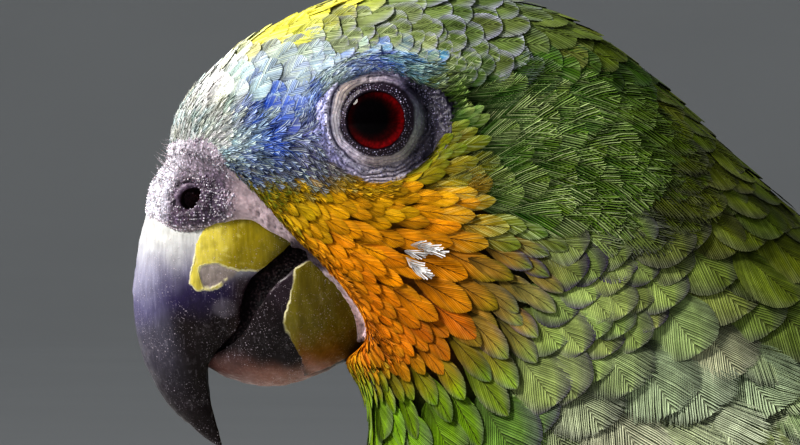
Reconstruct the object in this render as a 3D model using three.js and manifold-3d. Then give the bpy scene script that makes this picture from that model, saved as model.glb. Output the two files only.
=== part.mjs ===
// A life-size orange-winged amazon parrot, standing still on its two feet with its wings folded.
// Millimetres, +Z up. The bird faces -Y, its left side is +X, and its feet stand on z = 0.
// Every shape is drawn in the bird's own frame, whose origin lies midway between the eyes:
// y runs back towards the tail and z runs up. The finished group is then stood on the floor.
import * as THREE from "three";
import { mergeVertices } from "three/addons/utils/BufferGeometryUtils.js";
import Module from "manifold-3d";

const wasm = await Module();
wasm.setup();

// ---------------------------------------------------------------- driving dimensions
const EYE_HEIGHT = 168; // from the floor to the middle of the eyes
const GAP = 0.3; // free space between neighbouring pieces
const FLATTEN = 0.08; // slivers left by a cut are merged where that moves the surface less than this
const RING_POINTS = 24; // corners of a section through the head, neck or trunk

const EYE_RADIUS = 6.6;
const EYE_CENTRE_X = 15.2; // the balls bulge 2 mm out of the sides of the head
const LID = { x: 19.0, inner: 4.4, outer: 8.4, deep: 2.2, proud: 1.4 }; // bare skin round each eye
const LID_TILT = 12; // degrees the ring looks up, as the side of the head does there
const LID_POINTS = 16;
const CERE_SWELL = 0.5; // the cere stands this far proud of the horn
const NOSTRIL = { x: 6.4, y: -24.1, z: -9.7, radius: 1.4 };

// Sections through the coated body, from the base of the bill to the tips of the tail coverts.
// Each lies in the plane through its highest and lowest point, [y, z], and is half as wide as `half`.
const BODY = [
  { top: [-27.2, -4.2], low: [-5.0, -27.0], half: 11.8 }, // 0 base of the bill
  { top: [-26.2, 1.4], low: [-4.6, -30.4], half: 14.0 },
  { top: [-22.4, 6.3], low: [-2.8, -33.4], half: 16.9 },
  { top: [-16.0, 11.7], low: [-1.2, -36.4], half: 19.3 }, // 3 brow
  { top: [-6.0, 16.0], low: [-0.8, -39.2], half: 21.0 },
  { top: [6.0, 17.9], low: [-1.0, -42.2], half: 22.0 }, // 5 crown
  { top: [18.0, 16.6], low: [-1.4, -45.8], half: 22.9 },
  { top: [30.0, 11.4], low: [-1.8, -50.2], half: 24.4 }, // 7 nape
  { top: [42.0, 1.0], low: [-1.2, -56.0], half: 27.4 },
  { top: [54.4, -11.5], low: [1.2, -64.0], half: 31.0 },
  { top: [68.0, -23.0], low: [7.0, -75.0], half: 34.6 }, // 10 shoulders
  { top: [84.0, -33.0], low: [19.0, -88.5], half: 37.2 },
  { top: [102.0, -42.0], low: [39.0, -101.0], half: 38.2 },
  { top: [122.0, -51.5], low: [63.0, -109.5], half: 37.8 }, // 13 middle of the back
  { top: [142.0, -62.0], low: [89.0, -115.0], half: 35.4 },
  { top: [160.0, -73.0], low: [116.0, -117.0], half: 30.4 },
  { top: [176.0, -84.0], low: [146.0, -120.5], half: 24.0 }, // 16 rump
  { top: [190.0, -95.5], low: [171.0, -126.0], half: 18.0 },
  { top: [203.0, -107.5], low: [194.0, -132.0], half: 15.4 },
  { top: [216.0, -121.5], low: [213.0, -136.5], half: 14.0 }, // 19 tips of the tail coverts
];
const NECK_START = 7;
const TRUNK_START = 10;
const TRUNK_END = 18.7;
const PARTING = 0.014; // head, neck and trunk are parted by cuts of twice this, counted in rows

// The folded wing lies on the body. `at` counts along BODY, `top` and `low` are its edges in
// degrees from the middle of the back, and `thick` is how far it stands off the coat.
const WING = [
  { at: 9.7, top: 75, low: 87, thick: 0.8 }, // wrist
  { at: 10.1, top: 56, low: 102, thick: 3.8 },
  { at: 10.8, top: 38, low: 112, thick: 6.0 },
  { at: 11.6, top: 25, low: 116, thick: 6.6 },
  { at: 12.5, top: 18, low: 115, thick: 6.2 },
  { at: 13.8, top: 13, low: 109, thick: 5.4 },
  { at: 15.0, top: 11, low: 100, thick: 4.6 },
  { at: 16.0, top: 11, low: 92, thick: 3.8 },
  { at: 17.0, top: 13, low: 82, thick: 3.0 },
  { at: 18.0, top: 17, low: 70, thick: 2.3 },
  { at: 18.7, top: 25, low: 57, thick: 1.7 },
  { at: 19.0, top: 35, low: 46, thick: 1.0 }, // wing tip
];
const WING_PARTS = [
  { name: "wing_coverts", from: 9.7, to: 13.6, rings: 11 },
  { name: "wing_secondaries", from: 13.6, to: 16.3, rings: 6 },
  { name: "wing_primaries", from: 16.3, to: 19.0, rings: 7 },
];
const WING_ARC_POINTS = 8;
const WING_SINK = 1.5; // the wing is first drawn this far into the coat, then cut to fit it

// The edge of the feathers round the bill, seen from the side. All before it is bare.
const FACE_EDGE = [
  [-30.0, -3.6],
  [-21.9, -4.1],
  [-15.5, -9.0],
  [-10.7, -14.6],
  [-7.4, -17.6],
  [-3.2, -22.4],
  [-1.0, -26.0],
  [-0.6, -28.4],
  [-4.0, -30.8],
  [-9.0, -31.4],
];

// Upper bill: the ridge and the cutting edge, [y, z], with the half width between the two edges.
const UPPER_BILL = [
  { top: [-21.0, 0.0], low: [-4.0, -14.0], half: 12.0 },
  { top: [-26.6, -5.4], low: [-9.7, -15.6], half: 11.0 },
  { top: [-29.1, -10.6], low: [-11.6, -17.0], half: 10.3 },
  { top: [-30.4, -16.0], low: [-13.4, -18.8], half: 9.3 },
  { top: [-31.0, -21.0], low: [-15.2, -20.8], half: 8.3 },
  { top: [-30.8, -25.8], low: [-16.4, -23.8], half: 7.2 },
  { top: [-29.6, -30.0], low: [-17.4, -26.8], half: 6.0 },
  { top: [-27.7, -33.6], low: [-19.2, -28.6], half: 4.7 },
  { top: [-25.3, -37.0], low: [-21.2, -30.8], half: 3.4 },
  { top: [-22.8, -39.6], low: [-21.1, -34.8], half: 2.2 },
  { top: [-20.6, -41.3], low: [-20.3, -39.0], half: 1.2 },
  { top: [-19.7, -42.0], low: [-19.8, -41.4], half: 0.5 }, // hooked tip
];
// Lower bill: here `top` is the keel underneath and `low` the cutting edge.
const LOWER_BILL = [
  { top: [4.0, -26.0], low: [-5.0, -14.6], half: 10.6 },
  { top: [-0.4, -28.6], low: [-8.5, -17.7], half: 10.2 },
  { top: [-3.6, -30.8], low: [-11.1, -19.9], half: 9.9 },
  { top: [-7.2, -32.4], low: [-13.1, -22.0], half: 9.3 },
  { top: [-11.2, -33.5], low: [-15.1, -24.7], half: 8.5 },
  { top: [-15.0, -33.7], low: [-16.6, -27.2], half: 7.2 },
  { top: [-18.0, -33.1], low: [-18.3, -28.9], half: 5.4 },
  { top: [-20.1, -32.0], low: [-19.8, -30.1], half: 3.2 }, // scooped tip
];
// The cere, seen from the side: the fleshy saddle over the root of the upper bill.
const CERE_OUTLINE = [
  [-29.6, -2.5],
  [-31.5, -11.0],
  [-26.6, -13.4],
  [-23.4, -13.9],
  [-20.6, -12.5],
  [-16.0, -12.2],
  [-11.6, -14.6],
  [-6.0, -13.0],
  [-14.0, 4.0],
];
const TONGUE = [
  { at: [-6.6, -16.0], radius: 0.7 },
  { at: [-11.6, -18.7], radius: 0.8 },
  { at: [-14.0, -20.9], radius: 0.9 },
  { at: [-15.7, -24.4], radius: 0.6 },
];
const TONGUE_SPREAD = 6; // the tongue is this many times as wide as it is thick

// The tail: two stacks of feathers that meet at the middle, [y, z] down its centre line.
const TAIL = [
  { at: [200, -124.0], half: 13.0, thick: 6.4 },
  { at: [212, -131.5], half: 15.5, thick: 5.6 },
  { at: [226, -140.5], half: 18.5, thick: 4.6 },
  { at: [238, -148.5], half: 20.5, thick: 3.6 },
  { at: [246, -153.8], half: 19.5, thick: 2.8 },
  { at: [251, -157.0], half: 15.0, thick: 2.2 },
  { at: [254, -159.0], half: 8.0, thick: 1.6 },
];
const TAIL_ARCH = 0.12; // how far the outer feathers droop, for each millimetre outwards

// One leg. The thigh's feathers end at the heel; the shank runs down to the ball of the foot.
const LEG_X = 21;
const THIGH = [
  { at: [14, 79, -93], radius: [15.5, 21] },
  { at: [18, 86, -112], radius: [12.5, 16] },
  { at: [20, 94, -126], radius: [8.8, 10.6] },
  { at: [LEG_X, 98.6, -134.6], radius: [6.2, 7.2] },
  { at: [LEG_X, 101, -139], radius: [4.6, 5.0] },
];
const SHANK = [
  { at: [LEG_X, 102.0, -140.9], radius: 3.6 },
  { at: [LEG_X, 103.2, -144.2], radius: 4.0 },
  { at: [LEG_X, 100.2, -149.0], radius: 3.3 },
  { at: [LEG_X, 95.5, -156.0], radius: 3.3 },
  { at: [LEG_X, 92.0, -161.5], radius: 4.0 },
];
const BALL_OF_FOOT = { y: 90, high: 8.8, flat: 0.9 }; // its pad is flattened by `flat`
// Two toes point forwards and two back. `turn` is degrees from straight ahead towards the outside.
const TOES = [
  { name: "inner_front", turn: -20, length: 21, joints: 2, claw: 10 },
  { name: "outer_front", turn: 16, length: 30, joints: 3, claw: 11 },
  { name: "outer_back", turn: 148, length: 25, joints: 3, claw: 10 },
  { name: "inner_back", turn: -157, length: 15, joints: 2, claw: 8.5 },
];
const TOE_START = 5.2; // from the ball of the foot to where a toe parts from it
const TOE_RADIUS = 3.3;
const TOE_POINTS = 8;

// ---------------------------------------------------------------- materials
const finish = (color, roughness) => new THREE.MeshStandardMaterial({ color, roughness, metalness: 0 });
const MATERIALS = {
  head_plumage: finish(0x8fae3c, 0.8),
  neck_plumage: finish(0x5f8f34, 0.8),
  body_plumage: finish(0x4f8a32, 0.8),
  wing_plumage: finish(0x2f6d2c, 0.75),
  flight_plumage: finish(0x1f3f33, 0.7),
  tail_plumage: finish(0x6f9a35, 0.75),
  bill: finish(0x4a4650, 0.35),
  cere: finish(0x8a8088, 0.6),
  mouth: finish(0x2a2426, 0.5),
  lids: finish(0xb4b0b8, 0.6),
  eye: finish(0x7a1410, 0.08),
  scaly_skin: finish(0x8d8a86, 0.65),
  claw: finish(0x3a3432, 0.35),
};

// ---------------------------------------------------------------- solids from rings
// Closes a stack of rings, all with the same number of corners, into one solid facing outwards.
function solidFromRings(rings) {
  const count = rings[0].length;
  const points = rings.flat();
  const triangles = [];
  for (let i = 0; i + 1 < rings.length; i++) {
    for (let j = 0; j < count; j++) {
      const next = (j + 1) % count;
      const a = i * count + j;
      const b = i * count + next;
      triangles.push(a, b, b + count, a, b + count, a + count);
    }
  }
  for (const [ring, start, flip] of [
    [rings[0], 0, true],
    [rings.at(-1), (rings.length - 1) * count, false],
  ]) {
    const middle = points.length;
    points.push(ring.reduce((sum, p) => sum.add(p), new THREE.Vector3()).divideScalar(count));
    for (let j = 0; j < count; j++) {
      const edge = [start + j, start + ((j + 1) % count)];
      if (flip) edge.reverse();
      triangles.push(edge[0], edge[1], middle);
    }
  }
  return facingOut(new THREE.BufferGeometry().setFromPoints(points).setIndex(triangles));
}

function facingOut(geometry) {
  const at = (i) => new THREE.Vector3().fromBufferAttribute(geometry.attributes.position, i);
  const index = geometry.index.array;
  let volume = 0;
  for (let i = 0; i < index.length; i += 3) {
    volume += at(index[i]).dot(at(index[i + 1]).cross(at(index[i + 2])));
  }
  if (volume < 0) {
    for (let i = 0; i < index.length; i += 3) [index[i], index[i + 1]] = [index[i + 1], index[i]];
  }
  return geometry;
}

// ---------------------------------------------------------------- booleans
function toSolid(geometry) {
  const bare = geometry.clone();
  bare.deleteAttribute("normal");
  bare.deleteAttribute("uv");
  const merged = mergeVertices(bare, 1e-4);
  return new wasm.Manifold(
    new wasm.Mesh({
      numProp: 3,
      vertProperties: merged.attributes.position.array,
      triVerts: new Uint32Array(merged.index.array),
    }),
  );
}

function toGeometry(solid) {
  const mesh = solid.simplify(FLATTEN).getMesh();
  return new THREE.BufferGeometry()
    .setAttribute("position", new THREE.BufferAttribute(new Float32Array(mesh.vertProperties), 3))
    .setIndex(new THREE.BufferAttribute(new Uint32Array(mesh.triVerts), 1));
}

const cut = (geometry, ...tools) =>
  toGeometry(tools.reduce((solid, tool) => solid.subtract(toSolid(tool)), toSolid(geometry)));
const common = (a, b) => toGeometry(toSolid(a).intersect(toSolid(b)));
const joined = (a, b) => toGeometry(toSolid(a).add(toSolid(b)));

// ---------------------------------------------------------------- smooth tables
// A smooth curve through one column of a table. `at` counts rows, so 2.5 lies between rows 2 and 3.
function column(rows, value) {
  const curve = new THREE.SplineCurve(rows.map((row) => new THREE.Vector2(...value(row))));
  return (at) => curve.getPoint(THREE.MathUtils.clamp(at / (rows.length - 1), 0, 1));
}

// A value from a table whose rows state their own place in `at`, as WING's do.
function valueAt(rows, key, at) {
  const after = rows.find((row) => row.at > at) ?? rows.at(-1);
  const before = rows[Math.max(rows.indexOf(after) - 1, 0)];
  return THREE.MathUtils.mapLinear(at, before.at, after.at, before[key], after[key]);
}

const steps = (from, to, count) =>
  Array.from({ length: count }, (_, i) => THREE.MathUtils.lerp(from, to, i / (count - 1)));

// ---------------------------------------------------------------- head, neck and trunk
const bodyTop = column(BODY, (row) => row.top);
const bodyLow = column(BODY, (row) => row.low);
const bodyHalf = column(BODY, (row) => [row.half, 0]);

// The sections are slightly squarer than ellipses.
const squared = (share) => Math.sign(share) * Math.abs(share) ** 0.9;

// A point of the coat, `angle` degrees round from the middle of the back towards the bird's left.
function coatPoint(at, angle, standOff = 0) {
  const top = bodyTop(at);
  const low = bodyLow(at);
  const tall = top.distanceTo(low) / 2;
  const up = top.clone().sub(low).normalize();
  const turn = THREE.MathUtils.degToRad(angle);
  const middle = top.clone().add(low).multiplyScalar(0.5);
  const place = middle.addScaledVector(up, squared(Math.cos(turn)) * (tall + standOff));
  return new THREE.Vector3(squared(Math.sin(turn)) * (bodyHalf(at).x + standOff), place.x, place.y);
}

const coatRing = (at, standOff) =>
  Array.from({ length: RING_POINTS }, (_, i) => coatPoint(at, (i * 360) / RING_POINTS, standOff));

// A length of the body with its sections at these places along BODY.
const coatLength = (places, standOff = 0) => solidFromRings(places.map((at) => coatRing(at, standOff)));

const HEAD_PLACES = steps(0, NECK_START - PARTING, 14);
const NECK_PLACES = steps(NECK_START + PARTING, TRUNK_START - PARTING, 5);
const TRUNK_PLACES = steps(TRUNK_START + PARTING, TRUNK_END, 14);

const eyeBall = (side, radius) =>
  new THREE.IcosahedronGeometry(radius, 2).translate(side * EYE_CENTRE_X, 0, 0);

// A turned disc on the side of the head, from a profile of [radius, distance outwards].
function lidDisc(side, profile) {
  const rings = profile.map(([radius, out]) =>
    Array.from({ length: LID_POINTS }, (_, i) => {
      const turn = (2 * Math.PI * i) / LID_POINTS;
      return new THREE.Vector3(radius * Math.cos(turn), out, radius * Math.sin(turn));
    }),
  );
  return solidFromRings(rings)
    .rotateZ(-side * THREE.MathUtils.degToRad(90 - LID_TILT))
    .translate(side * LID.x, 0, 0);
}

// The bare ring of skin lies round the ball, a little proud of the coat round it.
function makeLids(side) {
  const profile = [
    [LID.outer, -LID.deep],
    [LID.outer, 0.2 * LID.proud],
    [0.8 * LID.outer, LID.proud],
    [LID.inner, 0.4 * LID.proud],
  ];
  return cut(lidDisc(side, profile), eyeBall(side, EYE_RADIUS + GAP));
}

function makeHead() {
  const socket = [
    [LID.outer + GAP, -LID.deep - GAP],
    [LID.outer + GAP, LID.outer],
  ];
  const sockets = [1, -1].flatMap((side) => [eyeBall(side, EYE_RADIUS + GAP), lidDisc(side, socket)]);
  return cut(coatLength(HEAD_PLACES), faceOpening, ...sockets);
}

// ---------------------------------------------------------------- bill, cere and tongue
// A section across a bill: flat along the cutting edges and round over the ridge or keel.
function billRing(top, low, half, grow) {
  const across = low.clone().sub(top);
  const tall = across.length() + grow;
  const down = across.normalize();
  const right = steps(0, 1, 7).map((share) => {
    const height = Math.sin((share * Math.PI) / 2);
    const x = (half + grow) * Math.sqrt(Math.max(0, 1 - height ** 2.3));
    return [x, height * tall];
  });
  const both = [...right, ...right.slice(0, -1).reverse().map(([x, height]) => [-x, height])];
  return both.map(([x, height]) => {
    const place = low.clone().addScaledVector(down, -height);
    return new THREE.Vector3(x, place.x, place.y);
  });
}

function billSolid(rows, rings, grow = 0) {
  const top = column(rows, (row) => row.top);
  const low = column(rows, (row) => row.low);
  const half = column(rows, (row) => [row.half, 0]);
  return solidFromRings(
    steps(0, rows.length - 1, rings).map((at) => billRing(top(at), low(at), half(at).x, grow)),
  );
}

// A prism across the bird with this outline seen from the side.
function sidePrism(outline, halfWidth) {
  const shape = new THREE.Shape(outline.map(([y, z]) => new THREE.Vector2(y, z)));
  const prism = new THREE.ExtrudeGeometry(shape, { depth: 2 * halfWidth, bevelEnabled: false });
  const basis = new THREE.Matrix4().makeBasis(
    new THREE.Vector3(0, 1, 0),
    new THREE.Vector3(0, 0, 1),
    new THREE.Vector3(1, 0, 0),
  );
  return prism.translate(0, 0, -halfWidth).applyMatrix4(basis);
}

// All the bare space before FACE_EDGE, whose edge is first moved `out` from the feathers.
function faceSpace(out) {
  const edge = FACE_EDGE.map(([y, z], i) => {
    const before = FACE_EDGE[Math.max(i - 1, 0)];
    const after = FACE_EDGE[Math.min(i + 1, FACE_EDGE.length - 1)];
    const way = new THREE.Vector2(after[1] - before[1], before[0] - after[0]).setLength(out);
    return [y + way.x, z + way.y];
  });
  return sidePrism([...edge, [-60.0, -31.6], [-60.0, -3.9]], 40);
}

function makeCere(head) {
  const root = billSolid(UPPER_BILL, 14, CERE_SWELL);
  const nostrils = [1, -1].map((side) =>
    new THREE.SphereGeometry(NOSTRIL.radius, 8, 6).translate(side * NOSTRIL.x, NOSTRIL.y, NOSTRIL.z),
  );
  return cut(common(root, sidePrism(CERE_OUTLINE, 20)), head, ...nostrils);
}

function makeUpperBill(head) {
  const lowered = CERE_OUTLINE.map(([y, z]) => [y, z - GAP]);
  return cut(billSolid(UPPER_BILL, 14), head, sidePrism(CERE_OUTLINE, 20), sidePrism(lowered, 20));
}

const makeLowerBill = (head) => cut(billSolid(LOWER_BILL, 10), head);

// ---------------------------------------------------------------- limbs
// A round or oval limb through the rows' points. Nothing reaches under `floor`.
function limb(rows, { points, rings, spread = 1, floor = -Infinity }) {
  const path = new THREE.CatmullRomCurve3(rows.map((row) => new THREE.Vector3(...row.at)));
  const radii = rows.map((row) => [row.radius].flat());
  const radius = column(radii, (pair) => [pair[0], pair.at(-1)]);
  return solidFromRings(
    steps(0, 1, rings).map((share) => {
      const middle = path.getPoint(share);
      const along = path.getTangent(share);
      const side = new THREE.Vector3(1, 0, 0).cross(along).lengthSq() > 0.2
        ? new THREE.Vector3(1, 0, 0)
        : new THREE.Vector3(0, 1, 0);
      const up = side.clone().cross(along).normalize();
      const across = along.clone().cross(up).normalize();
      const size = radius(share * (rows.length - 1));
      return Array.from({ length: points }, (_, i) => {
        const turn = (2 * Math.PI * i) / points;
        const place = middle
          .clone()
          .addScaledVector(across, Math.cos(turn) * size.x * spread)
          .addScaledVector(up, Math.sin(turn) * size.y);
        place.z = Math.max(place.z, floor);
        return place;
      });
    }),
  );
}

const inProfile = (rows) => rows.map((row) => ({ ...row, at: [0, ...row.at] }));
const mirrored = (rows) => rows.map((row) => ({ ...row, at: [-row.at[0], row.at[1], row.at[2]] }));
const forSide = (rows, side) => (side > 0 ? rows : mirrored(rows));

function makeTongue(head) {
  const blade = limb(inProfile(TONGUE), { points: 10, rings: 8, spread: TONGUE_SPREAD });
  return cut(blade, head, billSolid(LOWER_BILL, 10, GAP), billSolid(UPPER_BILL, 14, GAP));
}

const FLOOR = -EYE_HEIGHT;

// The way a toe points, turned outwards from straight ahead.
function toeWay(toe, side) {
  const turn = THREE.MathUtils.degToRad(toe.turn);
  return new THREE.Vector3(side * Math.sin(turn), -Math.cos(turn), 0);
}

// A toe swells at each joint, and its pads are flat where they bear on the floor.
function makeToe(toe, side, grow = 0) {
  const way = toeWay(toe, side);
  const rows = steps(0, 1, 2 * toe.joints + 1).map((share, i) => {
    const radius = TOE_RADIUS * (i % 2 ? 1 : 0.86) * (1 - 0.25 * share);
    const out = TOE_START + share * toe.length;
    const at = [side * LEG_X + way.x * out, BALL_OF_FOOT.y + way.y * out, FLOOR + radius * 0.82];
    return { at, radius: radius + grow };
  });
  return limb(rows, { points: TOE_POINTS, rings: 2 * toe.joints + 2, floor: FLOOR - grow });
}

// A claw rises from the end of its toe and curves down until its point just meets the floor.
function clawRows(toe, side) {
  const way = toeWay(toe, side);
  const start = TOE_START + toe.length + 2 * GAP;
  return [
    { out: 0, up: 2.4, radius: 1.75 },
    { out: 0.13, up: 2.5, radius: 1.9 },
    { out: 0.32, up: 3.1, radius: 1.7 },
    { out: 0.58, up: 3.0, radius: 1.25 },
    { out: 0.84, up: 1.6, radius: 0.75 },
    { out: 1, up: 0.4, radius: 0.3 },
  ].map(({ out, up, radius }) => {
    const reach = start + out * toe.claw;
    const at = [side * LEG_X + way.x * reach, BALL_OF_FOOT.y + way.y * reach, FLOOR + up];
    return { at, radius };
  });
}

// The ball of the foot, where the shank and the four toes meet.
function makeFoot(side, grow = 0) {
  const ball = new THREE.SphereGeometry(1, 12, 8)
    .rotateX(Math.PI / 2)
    .scale(5.6 + grow, 5.9 + grow, BALL_OF_FOOT.high / 2 + grow)
    .translate(side * LEG_X, BALL_OF_FOOT.y, FLOOR + BALL_OF_FOOT.high / 2 - BALL_OF_FOOT.flat);
  const place = ball.attributes.position;
  for (let i = 0; i < place.count; i++) place.setZ(i, Math.max(place.getZ(i), FLOOR - grow));
  return ball;
}

function legParts(side, body) {
  const name = side > 0 ? "left" : "right";
  const thigh = limb(forSide(THIGH, side), { points: 14, rings: 7 });
  const shank = limb(forSide(SHANK, side), { points: 10, rings: 7 });
  const taken = [makeFoot(side, GAP)];
  const parts = [
    [`thigh_${name}`, cut(thigh, body), "body_plumage"],
    [`shank_${name}`, cut(shank, ...taken), "scaly_skin"],
    [`foot_${name}`, makeFoot(side), "scaly_skin"],
  ];
  for (const toe of TOES) {
    parts.push([`toe_${toe.name}_${name}`, cut(makeToe(toe, side), ...taken), "scaly_skin"]);
    taken.push(makeToe(toe, side, GAP));
    const claw = limb(clawRows(toe, side), { points: 7, rings: 6, floor: FLOOR + 0.02 });
    parts.push([`claw_${toe.name}_${name}`, claw, "claw"]);
  }
  return parts;
}

// ---------------------------------------------------------------- wings and tail
// One stretch of a folded wing: a shell whose outer face rises off the coat between its two edges.
function wingPart(side, { from, to, rings }) {
  return solidFromRings(
    steps(from, to, rings).map((at) => {
      const angles = steps(valueAt(WING, "top", at), valueAt(WING, "low", at), WING_ARC_POINTS);
      const thick = valueAt(WING, "thick", at);
      const outer = angles.map((angle, i) => {
        const share = i / (WING_ARC_POINTS - 1);
        const rise = GAP + thick * (0.3 + 0.7 * Math.sin(Math.PI * share) ** 0.6);
        return coatPoint(at, side * angle, rise);
      });
      const inner = angles.map((angle) => coatPoint(at, side * angle, -WING_SINK)).reverse();
      return [...outer, ...inner];
    }),
  );
}

function wingParts(side, body) {
  const name = side > 0 ? "left" : "right";
  return WING_PARTS.map((part) => {
    const parted = { ...part, from: part.from + PARTING, to: part.to - PARTING };
    const look = part.name === "wing_coverts" ? "wing_plumage" : "flight_plumage";
    return [`${part.name}_${name}`, cut(wingPart(side, parted), body), look];
  });
}

function makeTail(trunk) {
  const rowAt = column(TAIL, (row) => row.at);
  const half = column(TAIL, (row) => [row.half, row.thick]);
  const shape = solidFromRings(
    steps(0, TAIL.length - 1, 9).map((at) => {
      const middle = rowAt(at);
      const size = half(at);
      return Array.from({ length: 14 }, (_, i) => {
        const turn = (2 * Math.PI * i) / 14;
        const x = Math.cos(turn) * size.x;
        const z = middle.y + (Math.sin(turn) * size.y) / 2 - Math.abs(x) * TAIL_ARCH;
        return new THREE.Vector3(x, middle.x, z);
      });
    }),
  );
  return cut(shape, trunk);
}

// ---------------------------------------------------------------- the whole bird
const parrot = new THREE.Group();

function add(name, geometry, look) {
  const mesh = new THREE.Mesh(geometry, MATERIALS[look]);
  mesh.name = name;
  parrot.add(mesh);
}

// The head and the body with the free space round them, to cut their neighbours to fit.
const faceOpening = faceSpace(0);
const headForward = coatLength(HEAD_PLACES).translate(0, -GAP, 0); // for the steep chin
const headSleeve = cut(joined(coatLength(HEAD_PLACES, GAP), headForward), faceSpace(GAP));
const bodySleeve = coatLength([...NECK_PLACES, ...TRUNK_PLACES, TRUNK_END + PARTING], GAP);

add("head", makeHead(), "head_plumage");
add("neck", coatLength(NECK_PLACES), "neck_plumage");
add("trunk", coatLength(TRUNK_PLACES), "body_plumage");
add("cere", makeCere(headSleeve), "cere");
add("bill_upper", makeUpperBill(headSleeve), "bill");
add("bill_lower", makeLowerBill(headSleeve), "bill");
add("tongue", makeTongue(headSleeve), "mouth");
add("tail", makeTail(bodySleeve), "tail_plumage");

for (const side of [1, -1]) {
  const name = side > 0 ? "left" : "right";
  add(`eye_${name}`, eyeBall(side, EYE_RADIUS), "eye");
  add(`eyelids_${name}`, makeLids(side), "lids");
  for (const part of [...wingParts(side, bodySleeve), ...legParts(side, bodySleeve)]) add(...part);
}

// Stand the bird on the floor, with the origin under the middle of its outer box.
const box = new THREE.Box3().setFromObject(parrot);
parrot.position.set(0, -(box.min.y + box.max.y) / 2, EYE_HEIGHT);

export default parrot;
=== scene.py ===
"""Life-size orange-winged amazon, standing: skin, plumage, horn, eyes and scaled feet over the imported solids.

Points are worked out in millimetres from the point midway between the eyes:
x to the bird's left, y towards its tail, z up.
"""

import math

import bpy
import numpy as np
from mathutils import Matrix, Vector
from mathutils.bvhtree import BVHTree
from mathutils.kdtree import KDTree


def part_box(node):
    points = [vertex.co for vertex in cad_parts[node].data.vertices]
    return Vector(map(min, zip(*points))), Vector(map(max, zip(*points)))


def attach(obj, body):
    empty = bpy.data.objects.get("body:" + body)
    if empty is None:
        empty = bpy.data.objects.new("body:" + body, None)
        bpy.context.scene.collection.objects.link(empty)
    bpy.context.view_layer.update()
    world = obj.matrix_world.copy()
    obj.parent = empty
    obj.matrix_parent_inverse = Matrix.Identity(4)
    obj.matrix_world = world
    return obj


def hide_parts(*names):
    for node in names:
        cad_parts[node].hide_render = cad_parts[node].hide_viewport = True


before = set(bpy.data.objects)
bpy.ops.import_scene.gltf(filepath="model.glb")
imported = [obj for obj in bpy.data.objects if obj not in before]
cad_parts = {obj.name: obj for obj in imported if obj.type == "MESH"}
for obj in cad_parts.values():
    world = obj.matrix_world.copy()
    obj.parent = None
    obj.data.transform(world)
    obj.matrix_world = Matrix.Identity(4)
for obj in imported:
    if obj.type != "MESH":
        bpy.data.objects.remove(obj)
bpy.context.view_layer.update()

MM = 0.001
EYE_LOW, EYE_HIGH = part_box("eye_left")
EYE_SPREAD = 500 * (EYE_LOW.x + EYE_HIGH.x)
BETWEEN_EYES = np.array([0, (EYE_LOW.y + EYE_HIGH.y) / 2, (EYE_LOW.z + EYE_HIGH.z) / 2])

SIDES = {"left": 1, "right": -1}
TOES = ("inner_front", "outer_front", "outer_back", "inner_back")
RING_CENTRE = np.array([0.5, -0.6])
RING_REACH = np.array([9.2, 7.4])


# Small tools


def tint(red, green, blue):
    """A colour given as screen values from 0 to 255."""
    shade = np.array([red, green, blue]) / 255
    return np.where(shade < 0.04045, shade / 12.92, ((shade + 0.055) / 1.055) ** 2.4)


def step(value, low, high):
    """0 below low, 1 above high, smooth between; low may be the larger."""
    share = np.clip((np.asarray(value, float) - low) / (high - low), 0, 1)
    return share * share * (3 - 2 * share)


def unit(vectors):
    return vectors / np.maximum(np.linalg.norm(vectors, axis=-1, keepdims=True), 1e-9)


def mixed(first, second, share):
    """Part first, part second; a share for each row of colours or points mixes whole rows."""
    share = np.asarray(share, float)
    alike = share.shape in (np.shape(first), np.shape(second))
    if share.ndim and not alike and share.shape[-1] != 1:
        share = share[..., None]
    return first * (1 - share) + second * share


def wavy(points, wavelength, seed):
    """A smooth uneven field, about -1 to 1, with bumps of the given size."""
    rng = np.random.default_rng(seed)
    waves = unit(rng.normal(size=(16, points.shape[-1])))
    waves = waves * 2 * math.pi / wavelength * rng.uniform(0.6, 1.4, (16, 1))
    return np.sin(points @ waves.T + rng.uniform(0, 6.3, 16)).sum(-1) / 5


def smooth_path(points, count):
    """A curve through the points, evenly spaced."""
    knots = np.array(points, float)
    ends = np.vstack([2 * knots[0] - knots[1], knots, 2 * knots[-1] - knots[-2]])
    turns = []
    for i in range(len(knots) - 1):
        a, b, c, d = ends[i : i + 4]
        t = np.linspace(0, 1, 24, endpoint=False)[:, None]
        curve = 2 * b + (c - a) * t + (2 * a - 5 * b + 4 * c - d) * t**2
        turns.append((curve + (3 * b - a - 3 * c + d) * t**3) / 2)
    path = np.vstack([*turns, knots[-1:]])
    run = np.r_[0, np.cumsum(np.linalg.norm(np.diff(path, axis=0), axis=1))]
    even = np.linspace(0, run[-1], count)
    return np.stack([np.interp(even, run, path[:, k]) for k in range(path.shape[1])], 1)


def outline_distance(points, outline):
    """Distance to a closed outline in a plane, negative inside it."""
    here = np.asarray(points)[:, None, :]
    start = np.array(outline, float)
    run = np.roll(start, -1, 0) - start
    away = here - start
    share = np.clip((away * run).sum(-1) / (run * run).sum(-1), 0, 1)
    nearest = np.linalg.norm(away - share[..., None] * run, axis=-1).min(1)
    ends = np.roll(start, -1, 0)
    over = (start[:, 1] > here[..., 1]) != (ends[:, 1] > here[..., 1])
    slope = run[:, 0] / np.where(run[:, 1] == 0, 1e-9, run[:, 1])
    crossed = here[..., 0] < start[:, 0] + slope * (here[..., 1] - start[:, 1])
    inside = (over & crossed).sum(1) % 2 == 1
    return np.where(inside, -nearest, nearest)


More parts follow.
